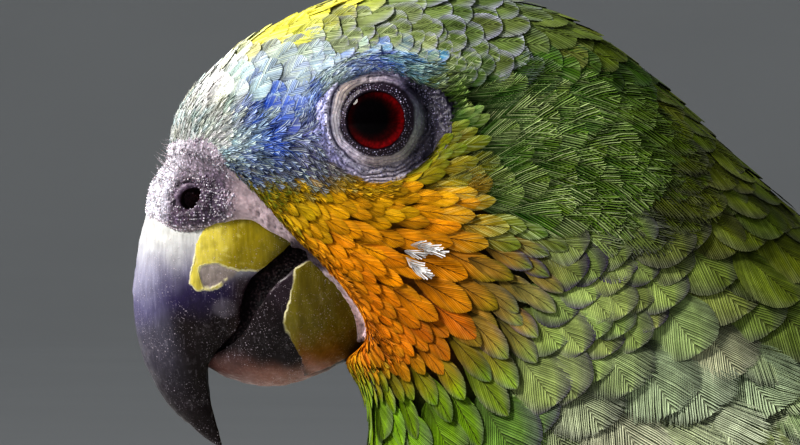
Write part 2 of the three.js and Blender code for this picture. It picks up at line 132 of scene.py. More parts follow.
def line_distance(points, line):
    """Distance to an open line in a plane."""
    here = np.asarray(points)[:, None, :]
    knots = np.array(line, float)
    run = knots[1:] - knots[:-1]
    away = here - knots[:-1]
    share = np.clip((away * run).sum(-1) / (run * run).sum(-1), 0, 1)
    return np.linalg.norm(away - share[..., None] * run, axis=-1).min(1)


# Meshes


def mesh_of(name, points, *faces):
    """A mesh from points in millimetres and arrays of quads or triangles."""
    mesh = bpy.data.meshes.new(name)
    faces = [np.asarray(f, np.int32) for f in faces if len(f)]
    corners = np.concatenate([f.ravel() for f in faces])
    sizes = np.concatenate([np.full(len(f), f.shape[1]) for f in faces])
    placed = np.asarray(points) * MM + BETWEEN_EYES
    mesh.vertices.add(len(placed))
    mesh.vertices.foreach_set("co", placed.astype(np.float32).ravel())
    mesh.loops.add(len(corners))
    mesh.loops.foreach_set("vertex_index", corners)
    mesh.polygons.add(len(sizes))
    starts = np.r_[0, np.cumsum(sizes)[:-1]].astype(np.int32)
    mesh.polygons.foreach_set("loop_start", starts)
    mesh.update(calc_edges=True)
    mesh.polygons.foreach_set("use_smooth", np.ones(len(sizes), bool))
    return mesh


def object_of(name, mesh):
    made = bpy.data.objects.new(name, mesh)
    bpy.context.scene.collection.objects.link(made)
    return made


def paint(mesh, name, colours):
    """A colour for each point, kept under a name."""
    layer = mesh.attributes.new(name, "FLOAT_COLOR", "POINT")
    colours = np.asarray(colours, np.float32)
    if colours.shape[1] == 3:
        colours = np.column_stack([colours, np.ones(len(colours), np.float32)])
    layer.data.foreach_set("color", colours.ravel())


def mark(mesh, name, values):
    """A number or a triple for each point, kept under a name."""
    values = np.asarray(values, np.float32)
    if values.ndim == 1:
        mesh.attributes.new(name, "FLOAT", "POINT").data.foreach_set("value", values)
    else:
        layer = mesh.attributes.new(name, "FLOAT_VECTOR", "POINT")
        layer.data.foreach_set("vector", values.ravel())


def finished(made, material, slot, *nodes):
    """Gives a piece its material and hides the solids that it stands for; the slot is not used."""
    if material:
        made.data.materials.clear()
        made.data.materials.append(material)
    if nodes:
        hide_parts(*nodes)
    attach(made, "root")
    return made


def points_of(mesh):
    """Points in millimetres and triangles of a mesh."""
    flat = np.empty(len(mesh.vertices) * 3, np.float32)
    mesh.vertices.foreach_get("co", flat)
    mesh.calc_loop_triangles()
    threes = np.empty(len(mesh.loop_triangles) * 3, np.int32)
    mesh.loop_triangles.foreach_get("vertices", threes)
    return (flat.reshape(-1, 3) - BETWEEN_EYES) / MM, threes.reshape(-1, 3)


def solids(names):
    """The named solids joined as loose triangles, and which solid each triangle is of."""
    points, threes, owners, count = [], [], [], 0
    for number, name in enumerate(names):
        p, t = points_of(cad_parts[name].data)
        points.append(p)
        threes.append(t + count)
        owners.append(np.full(len(t), number))
        count += len(p)
    return np.vstack(points), np.vstack(threes), np.concatenate(owners)


def plain(made):
    """The evaluated mesh of an object that was only needed to make it."""
    graph = bpy.context.evaluated_depsgraph_get()
    mesh = bpy.data.meshes.new_from_object(made.evaluated_get(graph))
    old = made.data
    bpy.data.objects.remove(made)
    bpy.data.meshes.remove(old)
    return mesh


def fused(names, voxel, rounds):
    """One closed smooth surface round the named solids."""
    made = object_of("fusing", mesh_of("fusing", *solids(names)[:2]))
    fuse = made.modifiers.new("Fuse", "REMESH")
    fuse.mode = "VOXEL"
    fuse.voxel_size = voxel * MM
    soften = made.modifiers.new("Soften", "SMOOTH")
    soften.factor = 0.5
    soften.iterations = rounds
    mesh = plain(made)
    count = len(mesh.vertices)
    flat = np.empty(len(mesh.loops), np.int32)
    mesh.loops.foreach_get("vertex_index", flat)
    quads = flat.reshape(-1, 4)
    label = np.arange(count)
    while True:
        lowest = label[quads].min(1)
        new = label.copy()
        np.minimum.at(new, quads.ravel(), np.repeat(lowest, 4))
        new = new[new]
        if (new == label).all():
            break
        label = new
    biggest = np.bincount(label).argmax()
    keep = label == biggest
    order = np.cumsum(keep) - 1
    flat = np.empty(count * 3, np.float32)
    mesh.vertices.foreach_get("co", flat)
    points = (flat.reshape(-1, 3) - BETWEEN_EYES) / MM
    bpy.data.meshes.remove(mesh)
    return points[keep], order[quads[keep[quads[:, 0]]]]


def point_normals(points, quads):
    """A smooth normal at each point of a surface."""
    normals = np.zeros_like(points)
    one = points[quads[:, 2]] - points[quads[:, 0]]
    other = points[quads[:, -1]] - points[quads[:, 1]]
    across = np.cross(one, other)
    for corner in quads.T:
        np.add.at(normals, corner, across)
    return unit(normals)


class Surface:
    """A surface that finds the nearest place on it, or where a line meets it."""

    def __init__(self, points, quads):
        self.points = points
        self.quads = quads
        self.normals = point_normals(points, quads)
        self.face_normals = unit(self.normals[quads].mean(1))
        self.tree = BVHTree.FromPolygons(points.tolist(), quads.tolist())

    def near(self, places):
        """Nearest places and the smooth normals there."""
        flat = np.asarray(places).reshape(-1, 3)
        found = [self.tree.find_nearest(p)[::2] for p in flat.tolist()]
        spots = np.array([f[0] for f in found])
        normals = self.face_normals[[f[1] for f in found]]
        return spots.reshape(np.shape(places)), normals.reshape(np.shape(places))

    def hit(self, starts, ways):
        """Where lines first meet the surface; nan where they miss."""
        spots = []
        for start, way in zip(np.asarray(starts).tolist(), np.asarray(ways).tolist()):
            spot = self.tree.ray_cast(start, way)[0]
            spots.append(spot if spot is not None else (np.nan,) * 3)
        return np.array(spots)


# Shapes of the body

WING_PARTS = ("wing_coverts", "wing_secondaries", "wing_primaries")
FLESH = ["head", "neck", "trunk"]
FLESH += [f"{part}_{side}" for part in ("thigh", "wing_coverts") for side in SIDES]
FLIGHT = [f"{part}_{side}" for part in WING_PARTS[1:] for side in SIDES]
LIDS = [f"eyelids_{side}" for side in SIDES]
SHANKS = [f"shank_{side}" for side in SIDES]

coat = Surface(*fused(FLESH + FLIGHT + LIDS + SHANKS + ["cere"], 1.2, 6))

MIDLINE = smooth_path(
    [(-20, -6), (-8, -11), (5, -13), (14, -19.4), (27.8, -37.8), (51.5, -60.8), (92.5, -80.5)]
    + [(138, -95), (180, -110.7), (214.5, -129), (254, -159)],
    240,
)
MIDLINE_RUN = np.r_[0, np.cumsum(np.linalg.norm(np.diff(MIDLINE, axis=0), axis=1))]
MIDLINE_WAY = unit(np.gradient(MIDLINE, axis=0))
# Where the feathers of the face end, as y and z, and the same edge as x, y and z round the bare skin
FEATHER_EDGE = [
    (-30, -3.6), (-21.9, -4.1), (-15.5, -9), (-10.7, -14.6), (-8.2, -16.6), (-5, -19.6), (-3.3, -23.2),
    (-0.9, -26.2), (1.4, -28.6), (-3, -30.9), (-9, -31.4),
]
SKIN_BY_FEATHERS = [
    (0, 1.8, -30.8), (5.5, 2.1, -30.4), (10.2, 2.2, -28.8), (12, 0.2, -26), (12.6, -2.5, -23.2),
    (13, -4.3, -19.8), (13, -6.6, -17.4), (13, -10.4, -14.4), (13, -12.9, -11.9), (13, -15.5, -9),
    (13, -18.5, -6.3), (12.5, -21.9, -4.1), (10, -24.5, -3.6), (6, -26.8, -3.5), (0, -27.6, -3.5),
]
skin_edge = coat.near(np.array(SKIN_BY_FEATHERS, float))[0]
skin_edge[[0, -1], 0] = 0


def along_body(points):
    """How far along the body's midline, the midline's way there, and the turn from the back."""
    flat = points.reshape(-1, 3)
    pull = (MIDLINE**2).sum(1)
    spot = np.empty(len(flat), int)
    for start in range(0, len(flat), 20000):
        part = flat[start : start + 20000, 1:]
        spot[start : start + 20000] = (pull - 2 * part @ MIDLINE.T).argmin(1)
    way = MIDLINE_WAY[spot]
    away = flat[:, 1:] - MIDLINE[spot]
    up = away[:, 1] * way[:, 0] - away[:, 0] * way[:, 1]
    turn = np.arctan2(np.abs(flat[:, 0]), up)
    return MIDLINE_RUN[spot], way, turn


def ring_distance(points):
    """Distance outside the bare skin round the nearer eye, seen from the side."""
    offset = (points[..., 1:] - RING_CENTRE) / RING_REACH
    reach = np.linalg.norm(offset, axis=-1)
    apart = (reach - 1) * RING_REACH.mean()
    return np.where(np.abs(points[..., 0]) > 7, apart, 40)


def lie(points, normals):
    """The way the plumage lies at places on the coat."""
    run, way, _ = along_body(points)
    whorl = np.array([0, -22, -4])
    spread = points - whorl
    spread[:, 0] *= 0.35
    spread = unit(spread)
    back = np.column_stack([np.zeros(len(way)), way])
    flow = mixed(spread, back, step(run, 22, 62))
    side = step(np.abs(points[:, 0]), 7, 12)
    offset = points[:, 1:] - RING_CENTRE
    reach = np.linalg.norm(offset / RING_REACH, axis=1) * 8.3
    out = unit(offset)
    pull = np.clip(7.6 / np.maximum(reach, 7.6), 0, 1) ** 2 * side
    along = flow[:, 1:]
    inward = (along * out).sum(1)
    along = along * (1 + pull[:, None]) - 2 * (pull * inward)[:, None] * out
    behind = step(offset[:, 0], 2, 9) * step(reach, 16, 8) * side
    along = along + out * behind[:, None]
    y, z = points[:, 1], points[:, 2]
    ear = step(y, 6, 12) * step(y, 34, 20) * step(z, -20, -12) * step(z, 9, 4) * side
    lift = np.interp(z, [-20, -12, -3, 5], [-4, 8, 22, 34]) - np.interp(y, [14, 32], [0, 12])
    lift = np.radians(lift) * ear
    drooping = step(y, 16, 32) * step(z, -16, -32) * step(run, 110, 75) * side
    lift = lift - math.radians(12) * drooping
    cos, sin = np.cos(lift), np.sin(lift)
    turned = along[:, 0] * cos - along[:, 1] * sin, along[:, 0] * sin + along[:, 1] * cos
    flow = np.column_stack([flow[:, 0], *turned])
    thigh = step(z, -100, -120) * step(y, 60, 72) * step(y, 134, 120)
    flow = mixed(flow, np.array([0, 0.35, -1.0]), thigh)
    flow -= (flow * normals).sum(1)[:, None] * normals
    return unit(flow)


# Feathers


def outline_of(count, tip, wide, foot):
    """Where barbs end round a feather: how far along it, and how far out from the shaft, from 0 to 1."""
    low = int(count * 0.42)
    rise = np.linspace(0, 1, low, endpoint=False)
    arc = np.linspace(0, math.pi / 2, count - low)
    reach = np.r_[0.05 + rise * (wide - 0.05), wide + (1 - wide) * np.sin(arc)]
    out = np.r_[foot + (1 - foot) * np.sin(rise * math.pi / 2), np.cos(arc) ** tip]
    return reach, out


def barb_starts(ends, wides, aspect, angles):
    """Where on the shaft barbs leave it; aspect is half the width over the length."""
    slope = np.tan(np.radians(np.interp(ends, [0, 1], angles)))
    starts = np.maximum.accumulate(np.clip(ends - wides * aspect / slope, 0, 1))
    starts[-1] = 1
    return starts


def combed_cut(
    width, barbs, tip, seed, wide=0.56, foot=0.3, fill=0.9, fray=0.015, lift=0.05, dark=-3.0,
    angles=(50, 26), blunt=0.2, shaft=-0.5, steps=(0, 0.55, 0.9, 1)
):
    """A feather 10 long whose barbs are set apart, each a thin ribbon with painted shade along one edge and a
    painted highlight along the other.
    """
    rng = np.random.default_rng(seed)
    aspect = width / 20
    reach, out = outline_of(barbs + 1, tip, wide, foot)
    starts = barb_starts(reach, out, aspect, angles)
    share = np.array(steps, float)
    size = len(share)
    narrow = np.r_[0.9, np.ones(size - 2), blunt] * fill
    ranks = np.arange(barbs + 1)
    rows, quads, count = [], [], 0
    for side in (1, -1):
        for k in range(barbs):
            grown = 1 + rng.normal(0, 1.5 * fray)
            slip = rng.normal(0, fray) * share**2
            raised = rng.normal(0, lift) * share**1.5
            tone = rng.normal(0, 0.7)
            pale = rng.uniform() ** 2
            for edge in (0, 1):
                at = k + edge * narrow
                first = np.interp(at, ranks, starts)
                last = np.interp(at, ranks, reach)
                u = first + (last - first) * share * grown + slip
                v = side * np.interp(at, ranks, out) * share**0.86 * grown
                rim = step(share, 0.76, 0.98) * step(reach[k], 0.35, 0.6)
                # Painted shade along one edge of each barb and a painted highlight along the other, over a
                # random tone.
                shade = tone + (1.2 if edge else dark)
                up = raised + 0.04 * edge
                rows.append(np.broadcast_arrays(u, v, first * 10, rim, up, shade, pale * edge))
            for c in range(size - 1):
                quad = [count + c, count + size + c, count + size + 1 + c, count + c + 1]
                quads.append(quad if side > 0 else quad[::-1])
            count += 2 * size
    share = np.linspace(0, 0.97, 5)
    for edge in (-1, 1):
        v = edge * 0.16 * (1 - 0.8 * share) / width
        rows.append(np.broadcast_arrays(share, v, 0.0, 0.0, 0.05, shaft, 0.3))
    quads += [[count + 5 + c, count + 6 + c, count + 1 + c, count + c] for c in range(4)]
    cut = dict(zip(("u", "v", "barb", "rim", "lift", "tone", "pale"), np.concatenate(rows, 1)))
    return {**cut, "quads": np.array(quads)}


def centrelines(surface, roots, ways, lengths, follow=0.4, stations=5):
    """Steps along the coat from each root: places, normals and sideways directions."""
    places, normals = surface.near(roots)
    track, ups, asides = [], [], []
    ways = unit(ways - (ways * normals).sum(1)[:, None] * normals)
    for k in range(stations):
        track.append(places)
        ups.append(normals)
        asides.append(np.cross(normals, ways))
        if k == stations - 1:
            break
        places, normals = surface.near(places + ways * (lengths / (stations - 1))[:, None])
        ways = ways - (ways * normals).sum(1)[:, None] * normals
        ways = unit(mixed(unit(ways), lie(places, normals), follow))
    return np.stack(track, 1), np.stack(ups, 1), np.stack(asides, 1)


def laid(cuts, picks, track, ups, asides, looks, unwrap):
    """Feathers cut to the chosen patterns and laid along their centrelines."""
    batches = []
    for number, cut in enumerate(cuts):
        chosen = np.flatnonzero(picks == number)
        if not len(chosen):
            continue
        look = {key: value[chosen][:, None] for key, value in looks.items()}
        place = np.clip(cut["u"], 0, 1) * (track.shape[1] - 1)
        low = np.minimum(place.astype(int), track.shape[1] - 2)
        share = (place - low)[None, :, None]
        one, two = track[chosen][:, low], track[chosen][:, low + 1]
        middle = one + (two - one) * share
        up = unit(mixed(ups[chosen][:, low], ups[chosen][:, low + 1], share))
        aside = unit(mixed(asides[chosen][:, low], asides[chosen][:, low + 1], share))
        out = cut["v"] * look["half"]
        height = look["height"] - look["rise"] * (1 - cut["u"])
        height = height - look["cup"] * out**2 + look["roll"] * out + cut["lift"]
        curl = look["curl"] * np.clip(cut["u"] - 0.55, 0, 1) ** 2
        points = middle + aside * out[..., None] + up * (height + curl)[..., None]
        fade = step(cut["u"], look["turn"] - 0.3, look["turn"] + 0.2)
        colour = mixed(look["root"], look["tip"], fade[..., None])
        colour = mixed(colour, look["rim"], (cut["rim"] * look["rim_share"])[..., None])
        colour = mixed(colour, look["pale"], (cut["pale"] * look["streaks"])[..., None])
        # Each barb's tone is random, with the painted shade and highlight along its edges.
        colour = colour * (1 + 0.16 * cut["tone"][:, None])
        # Darker towards the root: partly the grey down at the feather's base, partly painted shade where
        # feathers overlap.
        colour = colour * (0.54 + 0.46 * step(cut["u"], 0.12, 0.5)[:, None])
        shade = np.broadcast_to(look["lines"][..., None], colour[..., :1].shape)
        colour = np.clip(np.concatenate([colour, shade], -1), 0, 1)
        grain = np.stack(np.broadcast_arrays(cut["barb"] * look["scale"], out, look["scale"]), -1)
        patch = np.stack([(cut["u"] - 0.5), cut["v"] * 0.5], -1) * 0.003
        patch = unwrap[chosen][:, None] + patch[None]
        batches.append((points, cut["quads"], colour, grain, patch))
    return batches


def looks_of(count, **given):
    """How each of many feathers is coloured and set; one value may do for all."""
    threes = ("root", "tip", "rim", "pale")
    shapes = {key: (count, 3) if key in threes else count for key in given}
    return {key: np.broadcast_to(np.asarray(value, float), shapes[key]) for key, value in given.items()}


def feather_piece(name, slot, batches, *nodes):
    """Joins laid feathers as one piece with its colours, grain and unwrap."""
    quads = []
    count = 0
    for place, cut_quads, *_ in batches:
        number, size = place.shape[:2]
        starts = count + np.arange(number)[:, None, None] * size
        quads.append((cut_quads[None] + starts).reshape(-1, 4))
        count += number * size
    quads = np.concatenate(quads)
    points, colours, grains, patches = [
        np.concatenate([batch[k].reshape(-1, batch[k].shape[-1]) for batch in batches]) for k in (0, 2, 3, 4)
    ]
    mesh = mesh_of(name, points, quads)
    paint(mesh, "Plume", colours)
    mark(mesh, "Vane", grains)
    layer = mesh.uv_layers.new(name="OFBake")
    layer.data.foreach_set("uv", patches[quads.ravel()].astype(np.float32).ravel())
    return finished(object_of(name, mesh), PLUMAGE, slot, *nodes)


def tree_with(spots):
    """Finds the nearest of many spots."""
    tree = KDTree(len(spots))
    for index, spot in enumerate(spots.tolist()):
        tree.insert(spot, index)
    tree.balance()
    return tree


def scattered(surface, allowed, spacing, seed):
    """Even places over a surface, as far apart as the spacing asks at each place."""
    rng = np.random.default_rng(seed)
    quads = surface.quads
    middle = surface.points[quads].mean(1)
    corner = surface.points[quads]
    area = np.linalg.norm(np.cross(corner[:, 2] - corner[:, 0], corner[:, 3] - corner[:, 1]), axis=1)
    inside = allowed(middle)
    quads, area, middle = quads[inside], area[inside] / 2, middle[inside]
    weight = area / spacing(middle) ** 2
    number = int(weight.sum() * 16)
    picked = rng.choice(len(quads), number, p=weight / weight.sum())
    share = rng.uniform(size=(2, number, 1))
    corner = surface.points[quads[picked]]
    near = mixed(corner[:, 0], corner[:, 1], share[0])
    far = mixed(corner[:, 3], corner[:, 2], share[0])
    spots = mixed(near, far, share[1])
    spots = spots[allowed(spots)]
    gaps = spacing(spots) * 0.78
    tree = tree_with(spots)
    free = np.ones(len(spots), bool)
    kept = []
    for index, spot in enumerate(spots.tolist()):
        if free[index]:
            kept.append(index)
            for _, other, _ in tree.find_range(spot, gaps[index]):
                free[other] = False
    roots = spots[kept]
    for _ in range(3):
        tree = tree_with(roots)
        owner = np.array([tree.find(spot)[1] for spot in spots.tolist()])
        sums = np.zeros_like(roots)
        np.add.at(sums, owner, spots)
        roots = sums / np.bincount(owner, minlength=len(roots))[:, None]
    return surface.near(roots)[0]


# Materials


class Value:
    """What a node gives; arithmetic with it adds Math nodes to its tree."""

    def __init__(self, socket):
        self.socket = socket

    def __add__(self, other):
        return maths("ADD", self, other)

    def __sub__(self, other):
        return maths("SUBTRACT", self, other)

    def __rsub__(self, other):
        return maths("SUBTRACT", other, self)

    def __mul__(self, other):
        return maths("MULTIPLY", self, other)

    def __truediv__(self, other):
        return maths("DIVIDE", self, other)


def feed(socket, value):
    """Links a value to a socket, or sets a plain one; None leaves it be."""
    value = getattr(value, "socket", value)
    if isinstance(value, bpy.types.NodeSocket):
        socket.id_data.links.new(value, socket)
    elif value is not None:
        socket.default_value = value


def node(tree, kind, *inputs, named=None, **settings):
    """A node with its settings, and its inputs in order or by name."""
    made = tree.nodes.new(kind)
    for key, value in settings.items():
        setattr(made, key, value)
    for socket, value in zip(made.inputs, inputs):
        feed(socket, value)
    for key, value in (named or {}).items():
        feed(made.inputs[key], value)
    return made


def tree_of(*values):
    return next(v.socket.id_data for v in values if isinstance(v, Value))


def maths(operation, *inputs):
    return Value(node(tree_of(*inputs), "ShaderNodeMath", *inputs, operation=operation).outputs[0])


def ramped(value, low, high, bottom=0.0, top=1.0):
    """A smooth step between two values."""
    made = node(tree_of(value), "ShaderNodeMapRange", value, low, high, bottom, top)
    made.interpolation_type = "SMOOTHSTEP"
    return Value(made.outputs[0])


def blended(share, first, second, way="MIX"):
    """Mixes two colours."""
    made = node(tree_of(share, first, second), "ShaderNodeMix", data_type="RGBA", blend_type=way)
    for at, value in ((0, share), (6, first), (7, second)):
        feed(made.inputs[at], (*value, 1) if isinstance(value, np.ndarray) else value)
    return Value(made.outputs[2])


def shaded(colour, shade):
    """A colour multiplied by a number."""
    grey = node(tree_of(colour), "ShaderNodeCombineColor", shade, shade, shade)
    return blended(1.0, colour, Value(grey.outputs[0]), "MULTIPLY")


def read(tree, name, kind="Color"):
    """An attribute of the mesh."""
    return Value(node(tree, "ShaderNodeAttribute", attribute_name=name).outputs[kind])


def read_three(tree, name):
    """The three numbers kept in an attribute."""
    parts = node(tree, "ShaderNodeSeparateXYZ", read(tree, name, "Vector"))
    return [Value(part) for part in parts.outputs]


def started(name, **sockets):
    """A new material and its tree, with plain values set on the shader."""
    made = bpy.data.materials.new(name)
    made.use_nodes = True
    shader = made.node_tree.nodes["Principled BSDF"]
    for key, value in sockets.items():
        shader.inputs[key.replace("_", " ")].default_value = value
    return made, made.node_tree


def joined(made, colour, roughness=None, height=None, depth=0.0001, strength=1.0):
    """Feeds a material's shader, and gives the material back."""
    shader = made.node_tree.nodes["Principled BSDF"]
    feed(shader.inputs["Base Color"], colour)
    feed(shader.inputs["Roughness"], roughness)
    if height:
        named = {"Strength": strength, "Distance": depth, "Height": height}
        feed(shader.inputs["Normal"], node(made.node_tree, "ShaderNodeBump", named=named).outputs[0])
    return made


def group(name, takes, gives):
    """A node group with named number inputs and outputs."""
    made = bpy.data.node_groups.new(name, "ShaderNodeTree")
    for key, value in takes.items():
        made.interface.new_socket(key, in_out="INPUT", socket_type="NodeSocketFloat").default_value = value
    for key in gives:
        made.interface.new_socket(key, in_out="OUTPUT", socket_type="NodeSocketFloat")
    take = made.nodes.new("NodeGroupInput").outputs
    return made, {key: Value(take[key]) for key in takes}, made.nodes.new("NodeGroupOutput").inputs


def placed(tree, grouped, **inputs):
    """What a group used in a material gives."""
    made = node(tree, "ShaderNodeGroup", node_tree=grouped)
    for key, value in inputs.items():
        feed(made.inputs[key], value)
    return {out.name: Value(out) for out in made.outputs}


def textured(tree, kind, place=None, feature=None, **sockets):
    """A texture on the piece's own coordinates, in metres."""
    made = node(tree, kind, place or node(tree, "ShaderNodeTexCoord").outputs["Object"])
    if feature:
        made.feature = feature
    for key, value in sockets.items():
        feed(made.inputs[key], value)
    return made.outputs


def spots_of(tree, scale, detail=2.0, rough=0.5):
    """Uneven noise in bumps of 1/scale metres."""
    return Value(textured(tree, "ShaderNodeTexNoise", Scale=scale, Detail=detail, Roughness=rough)[0])


def barb_lines():
    """Fine lines between the barbs of a vane, and the shaft down its middle."""
    takes = {"Along": 0, "Out": 0, "Spacing": 0.42, "Shaft": 0.06}
    tree, take, give = group("Barb lines", takes, ("Gap", "Height", "Shaft"))
    turns = (take["Along"] + spots_of(tree, 900) * 0.35) / take["Spacing"]
    wave = maths("ABSOLUTE", maths("FRACT", turns) - 0.5) * 2.0
    feed(give["Gap"], ramped(wave, 0.5, 0.95))
    feed(give["Height"], 1.0 - maths("POWER", wave, 2.0))
    feed(give["Shaft"], ramped(maths("ABSOLUTE", take["Out"]) / take["Shaft"], 1.6, 0.7))
    return tree


def flecks():
    """Scattered specks, and fine scratches, for horn and skin."""
    tree, take, give = group("Flecks", {"Amount": 0.5, "Scale": 1500}, ("Specks", "Scratches", "Streaks"))
    dots = textured(tree, "ShaderNodeTexVoronoi", Scale=take["Scale"])
    choice = node(tree, "ShaderNodeSeparateColor", dots["Color"]).outputs[0]
    lit = maths("GREATER_THAN", choice, 1.0 - take["Amount"])
    feed(give["Specks"], ramped(Value(dots["Distance"]), 0.34, 0.12) * lit)
    place = node(tree, "ShaderNodeTexCoord").outputs["Object"]
    stretched = node(tree, "ShaderNodeMapping", place, None, (0.5, 0.4, 0.9), (2600, 2600, 260)).outputs[0]
    lines = Value(textured(tree, "ShaderNodeTexNoise", stretched, Scale=1.0, Detail=3.0)[0])
    feed(give["Scratches"], ramped(lines, 0.6, 0.7))
    feed(give["Streaks"], lines)
    return tree


def wrinkles():
    """Crinkled, pebbled skin; Pale is lighter on raised parts and darker in creases, as painted shade."""
    tree, take, give = group("Wrinkles", {"Fold": 700, "Pebble": 2200}, ("Height", "Pale"))
    crumpled = {"Detail": 4.0, "Roughness": 0.6, "Distortion": 0.6}
    folds = textured(tree, "ShaderNodeTexNoise", Scale=take["Fold"], **crumpled)
    pebbles = textured(tree, "ShaderNodeTexVoronoi", Scale=take["Pebble"])
    height = Value(folds[0]) * 1.4 + ramped(Value(pebbles["Distance"]), 0.75, 0.0) * 0.5
    feed(give["Height"], height)
    feed(give["Pale"], ramped(height, 0.75, 1.25))
    return tree


BARB_LINES = barb_lines()
FLECKS = flecks()
WRINKLES = wrinkles()


def plumage_finish():
    made, tree = started("plumage", Roughness=0.6, Specular_IOR_Level=0.1)
    along, out, edge = read_three(tree, "Vane")
    lines = placed(tree, BARB_LINES, Along=along, Out=out)
    # The lines in the gaps between barbs are darkened as painted shade.
    colour = blended(lines["Gap"] * read(tree, "Plume", "Alpha"), read(tree, "Plume"), tint(34, 30, 30))
    colour = blended(lines["Shaft"] * 0.5 * ramped(edge, 0.1, 0.9), colour, tint(40, 26, 12))
    colour = shaded(colour, ramped(spots_of(tree, 420, 3), 0.3, 0.7, 0.78, 1.14))
    return joined(made, colour, None, lines["Height"], 0.0001, 0.4)


def skin_finish():
    made, tree = started("skin", Roughness=0.8)
    wrinkle = placed(tree, WRINKLES, Fold=300, Pebble=900)
    colour = shaded(read(tree, "Tone"), ramped(spots_of(tree, 160, 4), 0.3, 0.7, 0.55, 1.0))
    return joined(made, colour, None, wrinkle["Height"], 0.0003)


def bare_skin_finish():
    soft = {"Subsurface_Weight": 0.08, "Subsurface_Radius": (1.0, 0.4, 0.3), "Subsurface_Scale": 0.0006}
    made, tree = started("bare_skin", Roughness=0.5, **soft)
    wrinkle = placed(tree, WRINKLES, Fold=900, Pebble=2600)
    specks = placed(tree, FLECKS, Amount=0.25, Scale=2600)
    rough = 1.0 - read(tree, "Smooth", "Fac") * 0.85
    # Wrinkle Pale paints shade in the creases and light on the ridges.
    shade = (wrinkle["Pale"] * 0.9 + 0.62) * ramped(spots_of(tree, 1500, 3), 0.34, 0.56, 0.55, 1.1)
    colour = shaded(read(tree, "Tone"), (shade - 0.95) * rough + 0.95)
    colour = blended(specks["Specks"] * 0.3 * rough, colour, tint(225, 220, 230))
    shine = ramped(wrinkle["Height"], 0.6, 1.3, 0.62, 0.4)
    return joined(made, colour, shine, wrinkle["Height"] * rough, 0.00016)


def horn_finish():
    """Horn of the bill: its tones, the flaked edges of old layers, specks and scratches."""
    soft = {"Subsurface_Weight": 0.03, "Subsurface_Radius": (1.0, 0.6, 0.35), "Subsurface_Scale": 0.001}
    made, tree = started("bill_horn", Coat_Weight=0.06, Coat_Roughness=0.35, Specular_IOR_Level=0.22, **soft)
    edge, _, flaky = read_three(tree, "Marks")
    coarse = placed(tree, FLECKS, Amount=0.22, Scale=2600)
    fine = placed(tree, FLECKS, Amount=0.42, Scale=5200)
    ragged = edge + (spots_of(tree, 900, 4) - 0.5) * 0.9
    old = ramped(ragged, 0.06, -0.06)
    colour = blended(old, read(tree, "Tone"), read(tree, "Patch"))
    colour = shaded(colour, ramped(fine["Streaks"], 0.3, 0.7, 0.88, 1.1))
    flake = ramped(maths("ABSOLUTE", ragged), 0.22, 0.05) * flaky
    colour = blended(flake * 0.8, colour, tint(214, 208, 168))
    dusty = ramped(spots_of(tree, 240, 4, 0.6), 0.36, 0.58)
    bright = maths("MAXIMUM", coarse["Specks"], fine["Specks"]) * dusty
    colour = blended(bright * 0.6, colour, tint(190, 180, 192))
    scuffed = ramped(spots_of(tree, 330, 5, 0.65), 0.56, 0.66) * 0.09
    scuffed = scuffed * ramped(spots_of(tree, 2400, 3), 0.42, 0.6)
    colour = blended(scuffed, colour, tint(168, 160, 168))
    colour = blended(coarse["Scratches"] * 0.12, colour, tint(158, 154, 164))
    height = old * 1.2 + flake * 0.6 + spots_of(tree, 1100, 4) * 0.5 + bright * 0.5
    return joined(made, colour, ramped(spots_of(tree, 700, 4), 0.3, 0.7, 0.36, 0.6), height, 0.00012, 0.8)


def eye_finish():
    wet = {"Coat_Weight": 0.16, "Coat_Roughness": 0.02, "Coat_IOR": 1.38}
    made, tree = started("eye_ball", Roughness=0.3, Specular_IOR_Level=0.0, **wet)
    return joined(made, shaded(read(tree, "Tone"), ramped(spots_of(tree, 1800, 4), 0.3, 0.7, 0.7, 1.2)))


def scale_finish():
    """Scaly skin of the feet: plates with dark seams."""
    made, tree = started("scaly_skin", Roughness=0.6)
    seams = Value(textured(tree, "ShaderNodeTexVoronoi", feature="DISTANCE_TO_EDGE", Scale=1150)["Distance"])
    wrinkle = placed(tree, WRINKLES, Fold=1200, Pebble=3000)
    colour = blended(ramped(spots_of(tree, 260, 3), 0.3, 0.7), tint(112, 108, 104), tint(150, 142, 134))
    # Wrinkle Pale paints the ridges of the scales a little lighter and their creases darker, as painted shade.
    colour = blended(wrinkle["Pale"] * 0.25, colour, tint(176, 170, 160))
    colour = blended(ramped(seams, 0.1, 0.0) * 0.6, colour, tint(58, 54, 52))
    height = ramped(seams, 0.0, 0.16) + wrinkle["Height"] * 0.12
    return joined(made, colour, None, height, 0.0002, 0.9)


def claw_finish():
    made, tree = started("claw_horn", Coat_Weight=0.2, Coat_Roughness=0.3)
    specks = placed(tree, FLECKS, Amount=0.25, Scale=2200)
    colour = blended(ramped(spots_of(tree, 500, 4), 0.3, 0.7), tint(30, 27, 30), tint(66, 60, 62))
    colour = blended(specks["Scratches"] * 0.4, colour, tint(120, 112, 110))
    colour = blended(specks["Specks"] * 0.25, colour, tint(150, 145, 145))
    shine = ramped(spots_of(tree, 800, 3), 0.3, 0.7, 0.3, 0.5)
    return joined(made, colour, shine, spots_of(tree, 1400, 4), 0.0001, 0.5)


def mouth_finish():
    made, tree = started("tongue", Roughness=0.45)
    wrinkle = placed(tree, WRINKLES, Fold=700, Pebble=2400)
    # Wrinkle Pale paints shade in the creases of the lining and light on its ridges.
    colour = blended(wrinkle["Pale"], tint(40, 32, 38), tint(92, 74, 80))
    return joined(made, colour, None, wrinkle["Height"], 0.0002)


PLUMAGE = plumage_finish()
SKIN = skin_finish()
BARE_SKIN = bare_skin_finish()
HORN = horn_finish()
EYE = eye_finish()
SCALES = scale_finish()
CLAW = claw_finish()
MOUTH = mouth_finish()


# Markings

BARE_FACE = FEATHER_EDGE + [(-14, -46), (-45, -40), (-45, -3.6)]

